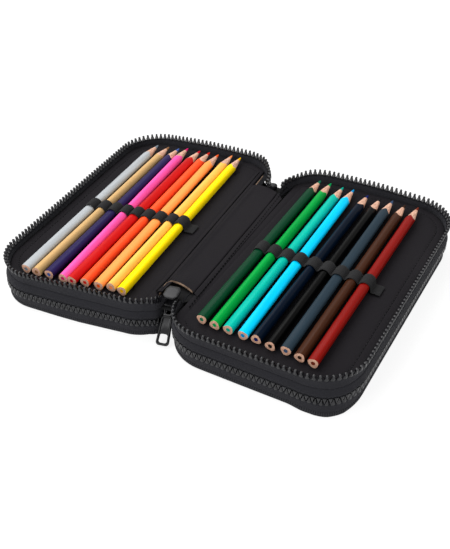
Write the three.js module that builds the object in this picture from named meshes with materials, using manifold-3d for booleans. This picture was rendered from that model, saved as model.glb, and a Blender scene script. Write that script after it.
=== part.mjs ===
// Pencil case with three zipped compartments, lying open with eighteen pencils.
// Millimetres, +Z up. X runs across the two halves, Y from the near edge to the far edge.
import * as THREE from 'three'
import { mergeVertices } from 'three/addons/utils/BufferGeometryUtils.js'
import Module from 'manifold-3d'

const wasm = await Module()
wasm.setup()

// Driving dimensions of one half
const halfWidth = 122
const halfDepth = 196
const cornerRadius = 28
const spineGap = 8
const clearance = 0.3
const cornerSteps = 5

// Heights above the table
const foldHeight = 21
const foldReach = 9
const panelThickness = 1.6
const bindingTop = 5.6
const chainHeight = 11.2
const bandBottom = 14.4

// How far the band's top lies below the fold, and how far the rim's tape, the rim's teeth and the
// low end of the spine's teeth rise above it
const bandDrop = 0.7
const rimTapeRise = 4.2
const rimTeethRise = 10
const spineRowRise = 4

// Fabric and board
const bandThickness = 1.4
const tapeThickness = 0.9
const boardThickness = 1.2
const stripThickness = 0.8
const bottomInset = 2.2
const bottomRound = 1
const lipReach = 1

// Moulded zip
const toothPitch = 3.4
const chainThickness = 2.4
const chainBulge = 1.2
const cordHeight = 0.9
const waveHeight = 3
const waveGap = 0.6
const toothRootWidth = 1.9
const toothTipWidth = 1.1
const middleCordHeight = 1.1
const middleTeethOut = -0.2
const closedStartAngle = 30 * Math.PI / 180
const openStartAngle = 33 * Math.PI / 180
const spineRowInner = 12.4 * Math.PI / 180
const spineRowOuter = 26.35 * Math.PI / 180

// Spine: how far short of the corners' centres the strip's two ends and the near tape stop
const stripNearShort = 10
const stripFarShort = 2
const tapeNearShort = 6.7

// Sliders and pull tabs
const sliderLength = 11.5
const sliderWidth = 8.4
const plateThickness = 1.2
const middlePlateGap = 2
const postWidth = 2.4
const postSides = 8
const bailWidth = 2.2
const bailBarDepth = 1.6
const barRadius = 0.75
const barRoom = 0.5
const crownThickness = 1
const bailLegLength = 1.1
const tabWidth = 8.6
const tabTopWidth = 6.6
const tabNeckWidth = 5.4
const tabNeckLength = 6.2
const tabLength = 24.6
const tabThickness = 1.5
const tabRibHeight = 0.35
const tabRibWidth = 1.1
const tabSideWall = 1.2
const tabEyeLength = 4.2
const tabHoleLength = 5.5
const tabHoleWidth = 5
const tabHoleEnd = 1.9
const tabCurveSteps = 3
const windowLength = 5.2
const sliderStart = 1.5
const tabRest = 1.3
const middleSliderTurn = 11 * Math.PI / 180
const middleSliderPlace = [-1.6, -1.5]

// Pencils, which are pencilRoom shorter than a half is deep, and their elastic
const pencilCount = 9
const pencilRadius = 3.5
const pencilLobe = 0.13
const pencilRoom = 21
const pencilCone = 17
const pencilTip = 0.6
const pencilLift = 0.3
const pencilSides = 12
const elasticWidth = 10
const elasticThickness = 0.6
const elasticPlace = -7.75
const elasticValley = 0.8
const elasticTab = 6.5
const elasticTabHeight = 1.5
const elasticStart = 3
const bottomStopLength = 5
const bottomStopHeight = 3

// Each half's row of pencils: its middle beside the half's middle, the pencils' pitch and turn, and
// how far each next pencil stands along the row
const trays = {
  left: {
    middle: [-4.1, 1.9],
    pitch: 8.4,
    turn: 2.9 * Math.PI / 180,
    slope: 0.08,
    pencils: [['silver', 0xa8adb0], ['tan', 0xb29662], ['indigo', 0x2a2254], ['pink', 0xff56a5],
      ['red', 0xd21c1a], ['vermilion', 0xff5426], ['orange', 0xffa054], ['apricot', 0xffb45a],
      ['yellow', 0xffd60a]],
  },
  right: {
    middle: [-1.7, 2.9],
    pitch: 9.2,
    turn: -0.7 * Math.PI / 180,
    slope: -0.026,
    pencils: [['bottle', 0x004626], ['green', 0x00a041], ['teal', 0x00b4a0], ['cyan', 0x00befa],
      ['navy', 0x05142d], ['black', 0x0f0c0c], ['slate', 0x2d3e4b], ['umber', 0x442616],
      ['russet', 0x96160f]],
  },
}

const bandTop = foldHeight - bandDrop
const middleTapeTop = foldHeight + rimTapeRise
const middleTeethTop = foldHeight + rimTeethRise
const spineRowLow = foldHeight + spineRowRise
const spineEdge = spineGap / 2
const outerEdge = spineEdge + halfWidth
const halfCentre = spineEdge + halfWidth / 2
const straightHalf = halfDepth / 2 - cornerRadius
const pencilLength = halfDepth - pencilRoom
const stripNear = straightHalf - stripNearShort
const stripFar = straightHalf - stripFarShort
const tapeNear = straightHalf - tapeNearShort
const sideLength = halfWidth - 2 * cornerRadius
const arcLength = cornerRadius * Math.PI / 2
const pathLength = 4 * arcLength + 2 * sideLength + 2 * straightHalf
const bailReach = bailBarDepth + barRadius + barRoom
const rearReach = chainThickness / 2 + clearance + plateThickness + bailReach + crownThickness
const rearShift = (rearReach - chainBulge) / 2

const fabric = { colour: 0x2d2d32, roughness: 0.9, metalness: 0 }
const lining = { colour: 0x262426, roughness: 0.8, metalness: 0 }
const plastic = { colour: 0x464648, roughness: 0.45, metalness: 0 }
const painted = { colour: 0x3c3c40, roughness: 0.35, metalness: 0.6 }
const elastic = { colour: 0x1c1c1c, roughness: 0.95, metalness: 0 }

const halves = { right: 1, left: -1 }
const model = new THREE.Group()
model.position.y = -rearShift

function addMesh (name, geometry, look, place) {
  const material = new THREE.MeshStandardMaterial(
    { color: look.colour, roughness: look.roughness, metalness: look.metalness })
  const mesh = new THREE.Mesh(geometry, material)
  mesh.name = name
  if (place) mesh.applyMatrix4(place)
  model.add(mesh)
  return mesh
}

// A closed geometry from points and triangles, turned so that its faces point out.
function closedGeometry (points, triangles) {
  let volume = 0
  const cross = new THREE.Vector3()
  for (const [a, b, c] of triangles) {
    volume += points[a].dot(cross.crossVectors(points[b], points[c]))
  }
  const outward = volume < 0 ? triangles.map(([a, b, c]) => [a, c, b]) : triangles
  const geometry = new THREE.BufferGeometry().setFromPoints(points)
  geometry.setIndex(outward.flat())
  geometry.computeVertexNormals()
  return geometry
}

// A sheet of triangles given two faces and a rim along its open edges.
function thickSheet (outerPoints, innerPoints, triangles) {
  const count = outerPoints.length
  const solid = []
  const edges = new Map()
  for (const [a, b, c] of triangles) {
    solid.push([a, b, c], [a + count, c + count, b + count])
    for (const [from, to] of [[a, b], [b, c], [c, a]]) edges.set(from + ' ' + to, [from, to])
  }
  for (const [from, to] of edges.values()) {
    if (edges.has(to + ' ' + from)) continue
    solid.push([to, from, from + count], [to, from + count, to + count])
  }
  return closedGeometry([...outerPoints, ...innerPoints], solid)
}

// Rings of points in line with each other, joined by walls and closed by a fan at each end.
function loft (rings) {
  const sides = rings[0].length
  const triangles = []
  for (let ring = 0; ring + 1 < rings.length; ring++) {
    for (let side = 0; side < sides; side++) {
      const a = ring * sides + side
      const b = ring * sides + (side + 1) % sides
      triangles.push([a, b, b + sides], [a, b + sides, a + sides])
    }
  }
  const last = (rings.length - 1) * sides
  for (let side = 1; side + 1 < sides; side++) {
    triangles.push([0, side + 1, side], [last, last + side, last + side + 1])
  }
  return closedGeometry(rings.flat(), triangles)
}

// The outline of one half from the near end of its spine side round to the far end. The distance
// runs along the outline, and the inset moves the point inwards. Side is 1 or -1 for right or left.
function outlinePoint (distance, inset, side) {
  const legs = [
    { length: arcLength, centre: [spineEdge + cornerRadius, -straightHalf], start: Math.PI },
    { length: sideLength, from: [spineEdge + cornerRadius, -halfDepth / 2], along: [1, 0] },
    { length: arcLength, centre: [outerEdge - cornerRadius, -straightHalf], start: 1.5 * Math.PI },
    { length: 2 * straightHalf, from: [outerEdge, -straightHalf], along: [0, 1] },
    { length: arcLength, centre: [outerEdge - cornerRadius, straightHalf], start: 0 },
    { length: sideLength, from: [outerEdge - cornerRadius, halfDepth / 2], along: [-1, 0] },
    { length: arcLength, centre: [spineEdge + cornerRadius, straightHalf], start: Math.PI / 2 },
  ]
  let rest = distance
  let leg = legs[0]
  for (leg of legs) {
    if (rest <= leg.length || leg === legs.at(-1)) break
    rest -= leg.length
  }
  if (leg.centre) {
    const angle = leg.start + rest / cornerRadius
    const reach = cornerRadius - inset
    return [side * (leg.centre[0] + reach * Math.cos(angle)), leg.centre[1] + reach * Math.sin(angle)]
  }
  const [dx, dy] = leg.along
  return [side * (leg.from[0] + dx * rest - dy * inset), leg.from[1] + dy * rest + dx * inset]
}

// Distances along the outline at which a wall needs a station: its ends, and steps round corners.
function stations (from, to) {
  const found = [from]
  let start = 0
  for (const [length, steps] of [[arcLength, cornerSteps], [sideLength, 1], [arcLength, cornerSteps],
    [2 * straightHalf, 1], [arcLength, cornerSteps], [sideLength, 1], [arcLength, cornerSteps]]) {
    for (let step = 0; step <= steps; step++) {
      const distance = start + length * step / steps
      if (distance > found.at(-1) + clearance && distance < to - clearance) found.push(distance)
    }
    start += length
  }
  found.push(to)
  return found
}

// A wall along the outline. Each level is a height with the insets of its outer and inner faces.
function wall (from, to, levels, side) {
  const along = stations(from, to)
  const faces = ['outer', 'inner'].map(face => levels.flatMap(level => along.map(distance => {
    const [x, y] = outlinePoint(distance, level[face], side)
    return new THREE.Vector3(x, y, level.height)
  })))
  const triangles = []
  for (let row = 0; row + 1 < levels.length; row++) {
    for (let step = 0; step + 1 < along.length; step++) {
      const a = row * along.length + step
      const b = a + along.length
      triangles.push([a, a + 1, b + 1], [a, b + 1, b])
    }
  }
  return thickSheet(faces[0], faces[1], triangles)
}

// Triangles between two lists of places, both in order along the outline.
function stitch (low, high) {
  const triangles = []
  let i = 0
  let j = 0
  while (i + 1 < low.length || j + 1 < high.length) {
    const lowNext = low[i + 1]
    const highNext = high[j + 1]
    if (highNext === undefined || (lowNext !== undefined && lowNext.along <= highNext.along)) {
      triangles.push([low[i], lowNext, high[j]])
      i++
    } else {
      triangles.push([low[i], highNext, high[j]])
      j++
    }
  }
  return triangles
}

// A row of teeth on its cord. Each tooth has the places of its base on the root line and of its
// top, and the cord runs from the foot line to the root line.
function teethRow (from, to, teeth, heights, insets, side) {
  const places = []
  const known = new Map()
  const place = (along, height) => {
    const key = along.toFixed(4) + ' ' + height.toFixed(4)
    if (!known.has(key)) {
      known.set(key, { along, height, index: places.length })
      places.push(known.get(key))
    }
    return known.get(key)
  }
  const footLine = stations(from, to).map(along => place(along, heights.foot))
  const bases = teeth.flatMap(tooth => tooth.base)
  const rootLine = [from, ...bases, to].filter((along, at, all) => at === 0 || along > all[at - 1])
    .map(along => place(along, heights.root))
  const triangles = stitch(footLine, rootLine)
  for (const tooth of teeth) {
    const base = tooth.base.map(along => place(along, heights.root))
    const top = tooth.top.map(along => place(along, tooth.height ?? heights.tip))
    triangles.push(...stitch(base, top))
  }
  const faces = [insets.outer, insets.inner].map(inset => places.map(({ along, height }) => {
    const [x, y] = outlinePoint(along, inset, side)
    return new THREE.Vector3(x, y, height)
  }))
  return thickSheet(faces[0], faces[1], triangles.map(corners => corners.map(corner => corner.index)))
}

// Insets at every place where a closed chain and its two tapes run.
const chainInsets = { outer: -chainBulge, inner: chainThickness - chainBulge }
const chainMiddle = (chainInsets.outer + chainInsets.inner) / 2
const chainHalf = waveHeight / 2 + waveGap / 2 + cordHeight + clearance
const bailEnd = sliderLength - bailLegLength / 2
const barAlong = bailEnd - bailLegLength - barRadius - barRoom
const middleInsets = { outer: middleTeethOut, inner: middleTeethOut + chainThickness }

// Places of a closed chain: bare ends, the window that the slider's post passes through, and waves.
const closedStart = cornerRadius * closedStartAngle
const postStart = pathLength - arcLength - sliderStart - sliderLength / 2 - windowLength / 2
const waveCount = Math.floor((postStart - clearance - closedStart) / toothPitch)
const closedEnd = closedStart + waveCount * toothPitch

// The low row has its crests half a pitch before the high row's.
function closedRow (lower, side) {
  const sign = lower ? 1 : -1
  const level = part => chainHeight + sign * part
  const crest = waveHeight / 2 - waveGap / 2
  const root = -waveHeight / 2 - waveGap / 2
  const bare = -clearance / 2
  const teeth = []
  const shift = lower ? 0 : toothPitch / 2
  const first = stations(0, closedStart - clearance)
  teeth.push({ base: first, top: first, height: level(bare) })
  for (let wave = 0; wave < waveCount - (lower ? 0 : 1); wave++) {
    const start = closedStart + wave * toothPitch + shift
    teeth.push({ base: [start, start + toothPitch], top: [start + toothPitch / 2] })
  }
  const last = stations(postStart + windowLength, pathLength)
  teeth.push({ base: last, top: last, height: level(bare) })
  const heights = { foot: level(root - cordHeight), root: level(root), tip: level(crest) }
  return teethRow(0, pathLength, teeth, heights, chainInsets, side)
}

// The open row on the rim. The two halves' rows stand half a pitch apart, so that they mesh.
function openRow (side) {
  const from = cornerRadius * openStartAngle
  const to = pathLength - from
  const count = Math.floor((to - from - toothPitch) / toothPitch)
  const spare = (to - from - count * toothPitch) / 2
  const shift = side === halves.left ? toothPitch / 4 : -toothPitch / 4
  const teeth = []
  for (let tooth = 0; tooth < count; tooth++) {
    const centre = from + spare + (tooth + 0.5) * toothPitch + shift
    teeth.push({
      base: [centre - toothRootWidth / 2, centre + toothRootWidth / 2],
      top: [centre - toothTipWidth / 2, centre + toothTipWidth / 2],
    })
  }
  const foot = middleTapeTop + clearance
  const heights = { foot, root: foot + middleCordHeight, tip: middleTeethTop }
  return teethRow(from, to, teeth, heights, middleInsets, side)
}

// A short row on the spine that comes down from the rim to the slider or to the bottom stop.
function spineRow (side, end) {
  const count = Math.floor(cornerRadius * (spineRowOuter - spineRowInner) / toothPitch)
  const from = cornerRadius * spineRowInner
  const to = cornerRadius * spineRowOuter
  const foot = foldHeight + clearance
  const insets = [middleInsets.outer, middleInsets.inner]
  const faces = insets.map(() => [])
  const rows = 2 * count + 1
  for (const level of [0, 1]) {
    for (let step = 0; step < rows; step++) {
      const share = step / (rows - 1)
      const rim = spineRowLow + (middleTeethTop - spineRowLow) * share
      const height = level === 0 ? foot : rim - (step % 2 ? 0 : middleCordHeight)
      const distance = from + (to - from) * share
      for (const [face, inset] of insets.entries()) {
        const [x, y] = outlinePoint(distance, inset, side)
        faces[face].push(new THREE.Vector3(x, end * -y, height))
      }
    }
  }
  const triangles = []
  for (let step = 0; step + 1 < rows; step++) {
    triangles.push([step, step + 1, rows + step + 1], [step, rows + step + 1, rows + step])
  }
  return thickSheet(faces[0], faces[1], triangles)
}

// A flat panel's outline, cut off straight on the spine side.
function panelRing (inset, height, side, cut) {
  const reach = cornerRadius - inset
  const angle = Math.acos(Math.min(1, (spineEdge + cornerRadius - cut) / reach))
  const start = cornerRadius * angle
  return stations(start, pathLength - start).map(distance => {
    const [x, y] = outlinePoint(distance, inset, side)
    return new THREE.Vector3(x, y, height)
  })
}

function extruded (shape, depth, steps) {
  return new THREE.ExtrudeGeometry(shape, { depth, bevelEnabled: false, curveSegments: steps })
}

function toSolid (geometry) {
  const bare = geometry.clone()
  bare.deleteAttribute('normal')
  bare.deleteAttribute('uv')
  const merged = mergeVertices(bare)
  const vertProperties = new Float32Array(merged.attributes.position.array)
  const triVerts = new Uint32Array(merged.index.array)
  return new wasm.Manifold(new wasm.Mesh({ numProp: 3, vertProperties, triVerts }))
}

function joined (geometries) {
  const solid = geometries.map(toSolid).reduce((whole, piece) => whole.add(piece))
  const { vertProperties, triVerts } = solid.getMesh()
  const geometry = new THREE.BufferGeometry()
  geometry.setAttribute('position', new THREE.BufferAttribute(vertProperties, 3))
  geometry.setIndex(new THREE.BufferAttribute(triVerts, 1))
  geometry.computeVertexNormals()
  return geometry
}

// Shares of a slider plate's length and width, from its tail to the two mouths of the Y.
const plateOutlineShares = [[0, 0.34], [0.3, 0.5], [0.78, 0.5], [1, 0.3]]

function sliderPlate (width, height) {
  const points = [...plateOutlineShares, ...plateOutlineShares.map(([x, y]) => [x, -y]).reverse()]
    .map(([x, y]) => new THREE.Vector2(x * sliderLength, y * width))
  return extruded(new THREE.Shape(points), plateThickness, 1).translate(0, 0, height)
}

// A slider: two plates, the post between them and the bail that carries the pull tab. Its length
// runs along X from 0, the inner plate lies above and the bail below.
function sliderGeometry (gap, innerWidth) {
  const innerPlate = sliderPlate(innerWidth, gap / 2)
  const outerPlate = sliderPlate(sliderWidth, -gap / 2 - plateThickness)
  const post = new THREE.CylinderGeometry(postWidth / 2, postWidth / 2, gap + plateThickness, postSides)
  post.rotateX(Math.PI / 2).translate(sliderLength / 2, 0, 0)
  const half = bailEnd - sliderLength / 2
  const top = -gap / 2 - plateThickness / 2
  const crown = top - plateThickness / 2 - bailReach
  const arch = new THREE.Shape()
  arch.moveTo(-half, top)
  arch.lineTo(-half, crown)
  arch.lineTo(-half + crownThickness, crown - crownThickness)
  arch.lineTo(half - crownThickness, crown - crownThickness)
  arch.lineTo(half, crown)
  arch.lineTo(half, top)
  arch.lineTo(half - bailLegLength, top)
  arch.lineTo(half - bailLegLength, crown)
  arch.lineTo(-half + bailLegLength, crown)
  arch.lineTo(-half + bailLegLength, top)
  const bail = extruded(arch, bailWidth, 1).rotateX(Math.PI / 2)
  bail.translate(sliderLength / 2, bailWidth / 2, 0)
  return joined([innerPlate, outerPlate, post, bail])
}

// A plate's outline and a hole in it, both straight-sided from one width at the top to another at
// the bottom, with round corners.
function taperedOutline (topWidth, width, top, bottom, radius) {
  const half = width / 2
  const outline = new THREE.Shape()
  outline.moveTo(-topWidth / 2, top)
  outline.lineTo(-half, bottom + radius)
  outline.absarc(-half + radius, bottom + radius, radius, Math.PI, 1.5 * Math.PI, false)
  outline.absarc(half - radius, bottom + radius, radius, 1.5 * Math.PI, 2 * Math.PI, false)
  outline.lineTo(topWidth / 2, top)
  return outline
}

function taperedHole (topWidth, width, top, bottom, radius) {
  const half = width / 2
  const topHalf = topWidth / 2
  const hole = new THREE.Path()
  hole.absarc(topHalf - radius, top - radius, radius, 0, Math.PI / 2, false)
  hole.absarc(-topHalf + radius, top - radius, radius, Math.PI / 2, Math.PI, false)
  hole.absarc(-half + radius, bottom + radius, radius, Math.PI, 1.5 * Math.PI, false)
  hole.absarc(half - radius, bottom + radius, radius, 1.5 * Math.PI, 2 * Math.PI, false)
  return hole
}

// A pull tab hanging down -Z from the bar that it turns on, which lies along X at the origin.
function tabGeometry () {
  const neck = tabNeckWidth / 2
  const shoulder = -tabNeckLength
  const corner = 2 * tabRibWidth
  const top = shoulder - tabSideWall
  const outline = taperedOutline(tabTopWidth, tabWidth, top, -tabLength, corner)
  for (const [x, y] of [[neck, shoulder], [neck, barRadius], [-neck, barRadius], [-neck, shoulder]]) {
    outline.lineTo(x, y)
  }
  const eyeWidth = tabNeckWidth - 2 * tabSideWall
  const eye = taperedHole(eyeWidth, eyeWidth, -barRadius, -barRadius - tabEyeLength, barRadius)
  const holeBottom = -tabLength + tabHoleEnd
  const hole = taperedHole(tabHoleWidth, tabHoleWidth, holeBottom + tabHoleLength, holeBottom, tabHoleWidth / 4)
  outline.holes.push(eye, hole)
  const plate = extruded(outline, tabThickness, tabCurveSteps).translate(0, 0, -tabThickness / 2)
  const rim = taperedOutline(tabTopWidth, tabWidth, top, -tabLength, corner)
  rim.holes.push(taperedHole(tabTopWidth - 2 * tabRibWidth, tabWidth - 2 * tabRibWidth, top - tabSideWall,
    -tabLength + tabRibWidth, tabRibWidth))
  const rib = extruded(rim, tabThickness + 2 * tabRibHeight, tabCurveSteps)
  rib.translate(0, 0, -tabThickness / 2 - tabRibHeight)
  return joined([plate, rib]).rotateX(Math.PI / 2)
}

// A pencil along +Y from its cut end: a rounded triangular barrel, the sharpened cone and the tip.
function pencilGeometry () {
  const ring = (share, place) => Array.from({ length: pencilSides }, (_, step) => {
    const angle = step * 2 * Math.PI / pencilSides
    const radius = share * (pencilRadius + pencilLobe * Math.cos(3 * (angle - Math.PI / 2)))
    return new THREE.Vector3(radius * Math.cos(angle), place, radius * Math.sin(angle))
  })
  const tipShare = pencilTip / pencilRadius
  return loft([ring(1, 0), ring(1, pencilLength - pencilCone), ring(tipShare, pencilLength)])
}

const pencilAxis = foldHeight + pencilLift + pencilRadius
const loopInner = pencilRadius + pencilLobe + clearance
const loopOuter = loopInner + elasticThickness
const loopOuterAngles = [25, 50, 75, 105, 130, 155].map(angle => angle * Math.PI / 180)
const loopInnerAngles = [-30, 0, 30, 60, 90, 120, 150, 180, 210].map(angle => angle * Math.PI / 180)

// The elastic band, seen along the pencils: arches over them and sewn feet between them. It is
// sheared, because each next pencil stands further along.
function elasticGeometry ({ pitch, slope }) {
  const first = -(pencilCount - 1) / 2 * pitch
  const base = foldHeight + clearance
  const upper = []
  const lower = []
  for (let loop = pencilCount - 1; loop >= 0; loop--) {
    const centre = first + loop * pitch
    for (const angle of loopOuterAngles) {
      upper.push([centre + loopOuter * Math.cos(angle), pencilAxis + loopOuter * Math.sin(angle)])
    }
    if (loop > 0) upper.push([centre - pitch / 2, pencilAxis + elasticValley])
  }
  for (let loop = 0; loop < pencilCount; loop++) {
    const centre = first + loop * pitch
    const foot = loopInner * Math.cos(loopInnerAngles[0])
    lower.push([centre - foot, base])
    for (const angle of [...loopInnerAngles].reverse()) {
      lower.push([centre + loopInner * Math.cos(angle), pencilAxis + loopInner * Math.sin(angle)])
    }
    lower.push([centre + foot, base])
  }
  const right = -first + loopOuter
  const tabTop = base + elasticTabHeight
  const ends = [[right + elasticTab, base], [right + elasticTab, tabTop], [right, tabTop]]
  const starts = [[-right, tabTop], [-right - elasticStart, tabTop], [-right - elasticStart, base]]
  const profile = [...lower, ...ends, ...upper, ...starts]
  const shape = new THREE.Shape(profile.map(([x, z]) => new THREE.Vector2(x, z)))
  const band = extruded(shape, elasticWidth, 1).rotateX(Math.PI / 2).translate(0, elasticWidth / 2, 0)
  const shear = new THREE.Matrix4().set(1, 0, 0, 0, slope, 1, 0, 0, 0, 0, 1, 0, 0, 0, 0, 1)
  return band.applyMatrix4(shear).translate(0, elasticPlace, 0)
}

// The frame of one half's row of pencils.
function trayFrame (name, side) {
  const { middle, turn } = trays[name]
  return new THREE.Matrix4().makeRotationZ(turn).setPosition(side * halfCentre + middle[0], middle[1], 0)
}

function addHalfPieces (name, side) {
  const board = [foldHeight - boardThickness, foldHeight].map(height =>
    panelRing(bandThickness + clearance, height, side, foldReach + clearance))
  addMesh(name + '_divider_board', loft(board), lining)
  const bandLevels = [
    { height: bandBottom, outer: -lipReach, inner: bandThickness - lipReach - clearance },
    { height: (bandBottom + bandTop) / 2, outer: -clearance, inner: bandThickness - clearance },
    { height: bandTop, outer: 0, inner: bandThickness },
  ]
  addMesh(name + '_upper_band', wall(0, pathLength, bandLevels, side), fabric)
  const tapeFoot = chainHeight + chainHalf
  const tapeLevels = [
    { height: tapeFoot, outer: bandThickness - lipReach, inner: bandThickness - lipReach + tapeThickness },
    { height: (bandBottom + bandTop) / 2, outer: bandThickness, inner: bandThickness + tapeThickness },
  ]
  addMesh(name + '_upper_zip_tape', wall(0, pathLength, tapeLevels, side), fabric)
  addMesh(name + '_upper_zip_teeth', closedRow(false, side), plastic)
  const rimStart = cornerRadius * openStartAngle
  const rimMiddle = (middleInsets.outer + middleInsets.inner) / 2
  const rimLevels = [
    { height: bandTop + clearance, outer: clearance, inner: clearance + tapeThickness },
    { height: middleTapeTop, outer: rimMiddle - tapeThickness / 2, inner: rimMiddle + tapeThickness / 2 },
  ]
  addMesh(name + '_middle_zip_tape', wall(rimStart, pathLength - rimStart, rimLevels, side), fabric)
  addMesh(name + '_middle_zip_teeth', openRow(side), plastic)
  const backHeights = [chainHeight + clearance, bandTop]
  addMesh(name + '_back_panel', backPanel(backHeights, [0, 0], side), fabric)
  addMesh(name + '_elastic_loops', elasticGeometry(trays[name]), elastic, trayFrame(name, side))
}

// The plain fabric wall on the spine side, between the ends of the zip.
function backPanel (heights, insets, side) {
  const length = straightHalf - clearance
  const faces = [0, bandThickness].map(depth => heights.flatMap((height, level) =>
    [-length, length].map(y => new THREE.Vector3(side * (spineEdge + insets[level] + depth), y, height))))
  const triangles = []
  for (let row = 0; row + 1 < heights.length; row++) {
    const a = 2 * row
    triangles.push([a, a + 1, a + 3], [a, a + 3, a + 2])
  }
  return thickSheet(faces[0], faces[1], triangles)
}

function addCoverPieces (name, side) {
  const cut = spineEdge + bottomInset
  const panel = [[bottomInset + bottomRound, 0], [bottomInset, bottomRound], [bottomInset, panelThickness]]
    .map(([inset, height]) => panelRing(inset, height, side, spineEdge + inset))
  addMesh(name + '_cover_panel', loft(panel), fabric)
  const foot = panelThickness + clearance
  const bulge = (foot + bindingTop) / 2
  const bindingLevels = [
    { height: foot, outer: bottomRound, inner: cut - spineEdge + tapeThickness / 2 },
    { height: bulge, outer: 0, inner: bottomInset },
    { height: bindingTop, outer: bottomRound / 2, inner: bandThickness + clearance },
  ]
  addMesh(name + '_edge_binding', wall(0, pathLength, bindingLevels, side), fabric)
  const tapeTop = chainHeight - chainHalf
  const tapeLevels = [
    { height: bindingTop + clearance, outer: bottomRound / 2, inner: bottomRound / 2 + tapeThickness },
    { height: tapeTop, outer: chainMiddle - tapeThickness / 2, inner: chainMiddle + tapeThickness / 2 },
  ]
  addMesh(name + '_lower_zip_tape', wall(0, pathLength, tapeLevels, side), fabric)
  addMesh(name + '_lower_zip_teeth', closedRow(true, side), plastic)
  const heights = [foot, bulge, chainHeight - clearance]
  addMesh(name + '_lower_back_panel', backPanel(heights, [bottomRound, 0, 0], side), fabric)
}

// The outer compartment's slider, parked on the hidden far side with its tab along the chain.
function addOuterSlider (name, side) {
  const gap = chainThickness + 2 * clearance
  const across = new THREE.Matrix4().makeBasis(
    new THREE.Vector3(side, 0, 0), new THREE.Vector3(0, 0, side), new THREE.Vector3(0, -1, 0))
  const start = spineEdge + cornerRadius + sliderStart
  const depth = halfDepth / 2 - chainMiddle
  across.setPosition(side * start, depth, chainHeight)
  addMesh(name + '_slider', sliderGeometry(gap, 2 * (chainHalf - clearance)), painted, across)
  const hang = new THREE.Matrix4().makeBasis(
    new THREE.Vector3(0, 0, 1), new THREE.Vector3(0, side, 0), new THREE.Vector3(-side, 0, 0))
  const barDepth = depth + gap / 2 + plateThickness + bailBarDepth
  hang.setPosition(side * (start + barAlong), barDepth, chainHeight)
  addMesh(name + '_pull_tab', tabGeometry(), painted, hang)
}

function addSpine () {
  const strip = new THREE.BoxGeometry(2 * (foldReach - clearance), stripNear + stripFar, stripThickness)
  strip.translate(0, (stripFar - stripNear) / 2, foldHeight)
  addMesh('spine_strip', strip, lining)
  addTapeEnd('near_tape_end', -1, stripNear + clearance, tapeNear)
  addTapeEnd('far_tape_end', 1, stripFar + clearance, straightHalf + bottomStopLength / 2)
  for (const [name, side] of Object.entries(halves)) {
    addMesh('near_' + name + '_spine_teeth', spineRow(side, -1), plastic)
    addMesh('far_' + name + '_spine_teeth', spineRow(side, 1), plastic)
  }
  addMiddleSlider()
  const stopWidth = spineGap - 2 * clearance
  const stop = new THREE.BoxGeometry(stopWidth, bottomStopLength, bottomStopHeight)
  const stopHeight = foldHeight + stripThickness / 2 + clearance + bottomStopHeight / 2
  stop.translate(0, straightHalf + bottomStopLength / 2, stopHeight)
  addMesh('middle_bottom_stop', stop, plastic)
}

// The middle slider stands askew at the near end of the spine. Its tab leans out between the halves
// until its end is tabRest above the table.
function addMiddleSlider () {
  const bottom = bandTop + clearance
  const barHeight = bottom - bailBarDepth
  const drop = Math.asin((barHeight - tabRest) / tabLength)
  const [aside, nearer] = middleSliderPlace
  const turned = new THREE.Matrix4().makeRotationZ(middleSliderTurn)
  turned.setPosition(aside, nearer - straightHalf, 0)
  const flat = new THREE.Matrix4().makeBasis(
    new THREE.Vector3(0, -1, 0), new THREE.Vector3(1, 0, 0), new THREE.Vector3(0, 0, 1))
  flat.setPosition(0, sliderLength / 2, bottom + plateThickness + middlePlateGap / 2)
  addMesh('middle_slider', sliderGeometry(middlePlateGap, sliderWidth), painted, flat.premultiply(turned))
  const lean = new THREE.Matrix4().makeRotationX(drop - Math.PI / 2)
  lean.setPosition(0, sliderLength / 2 - barAlong, barHeight)
  addMesh('middle_pull_tab', tabGeometry(), painted, lean.premultiply(turned))
}

// A tape end tucked under the strip's end, narrowing towards the slider or the stop.
function addTapeEnd (name, end, from, to) {
  const wide = foldReach - clearance
  const narrow = spineEdge - clearance
  const ring = height => [[-wide, from], [wide, from], [narrow, to], [-narrow, to]]
    .map(([x, y]) => new THREE.Vector3(x, end * y, height))
  const half = stripThickness / 2
  addMesh(name, loft([ring(foldHeight - half), ring(foldHeight + half)]), fabric)
}

function addPencils (name, side) {
  const { pencils, pitch, slope } = trays[name]
  pencils.forEach(([colour, value], index) => {
    const across = (index - (pencilCount - 1) / 2) * pitch
    const place = new THREE.Matrix4().makeTranslation(across, slope * across - pencilLength / 2, pencilAxis)
    const look = { colour: value, roughness: 0.4, metalness: 0 }
    addMesh('pencil_' + colour, pencilGeometry(), look, place.premultiply(trayFrame(name, side)))
  })
}

for (const [name, side] of Object.entries(halves)) {
  addHalfPieces(name, side)
  addCoverPieces(name, side)
  addOuterSlider(name, side)
  addPencils(name, side)
}
addSpine()

export default model
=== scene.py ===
import math
import bpy
import numpy as np
from mathutils import Matrix, Vector


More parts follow.
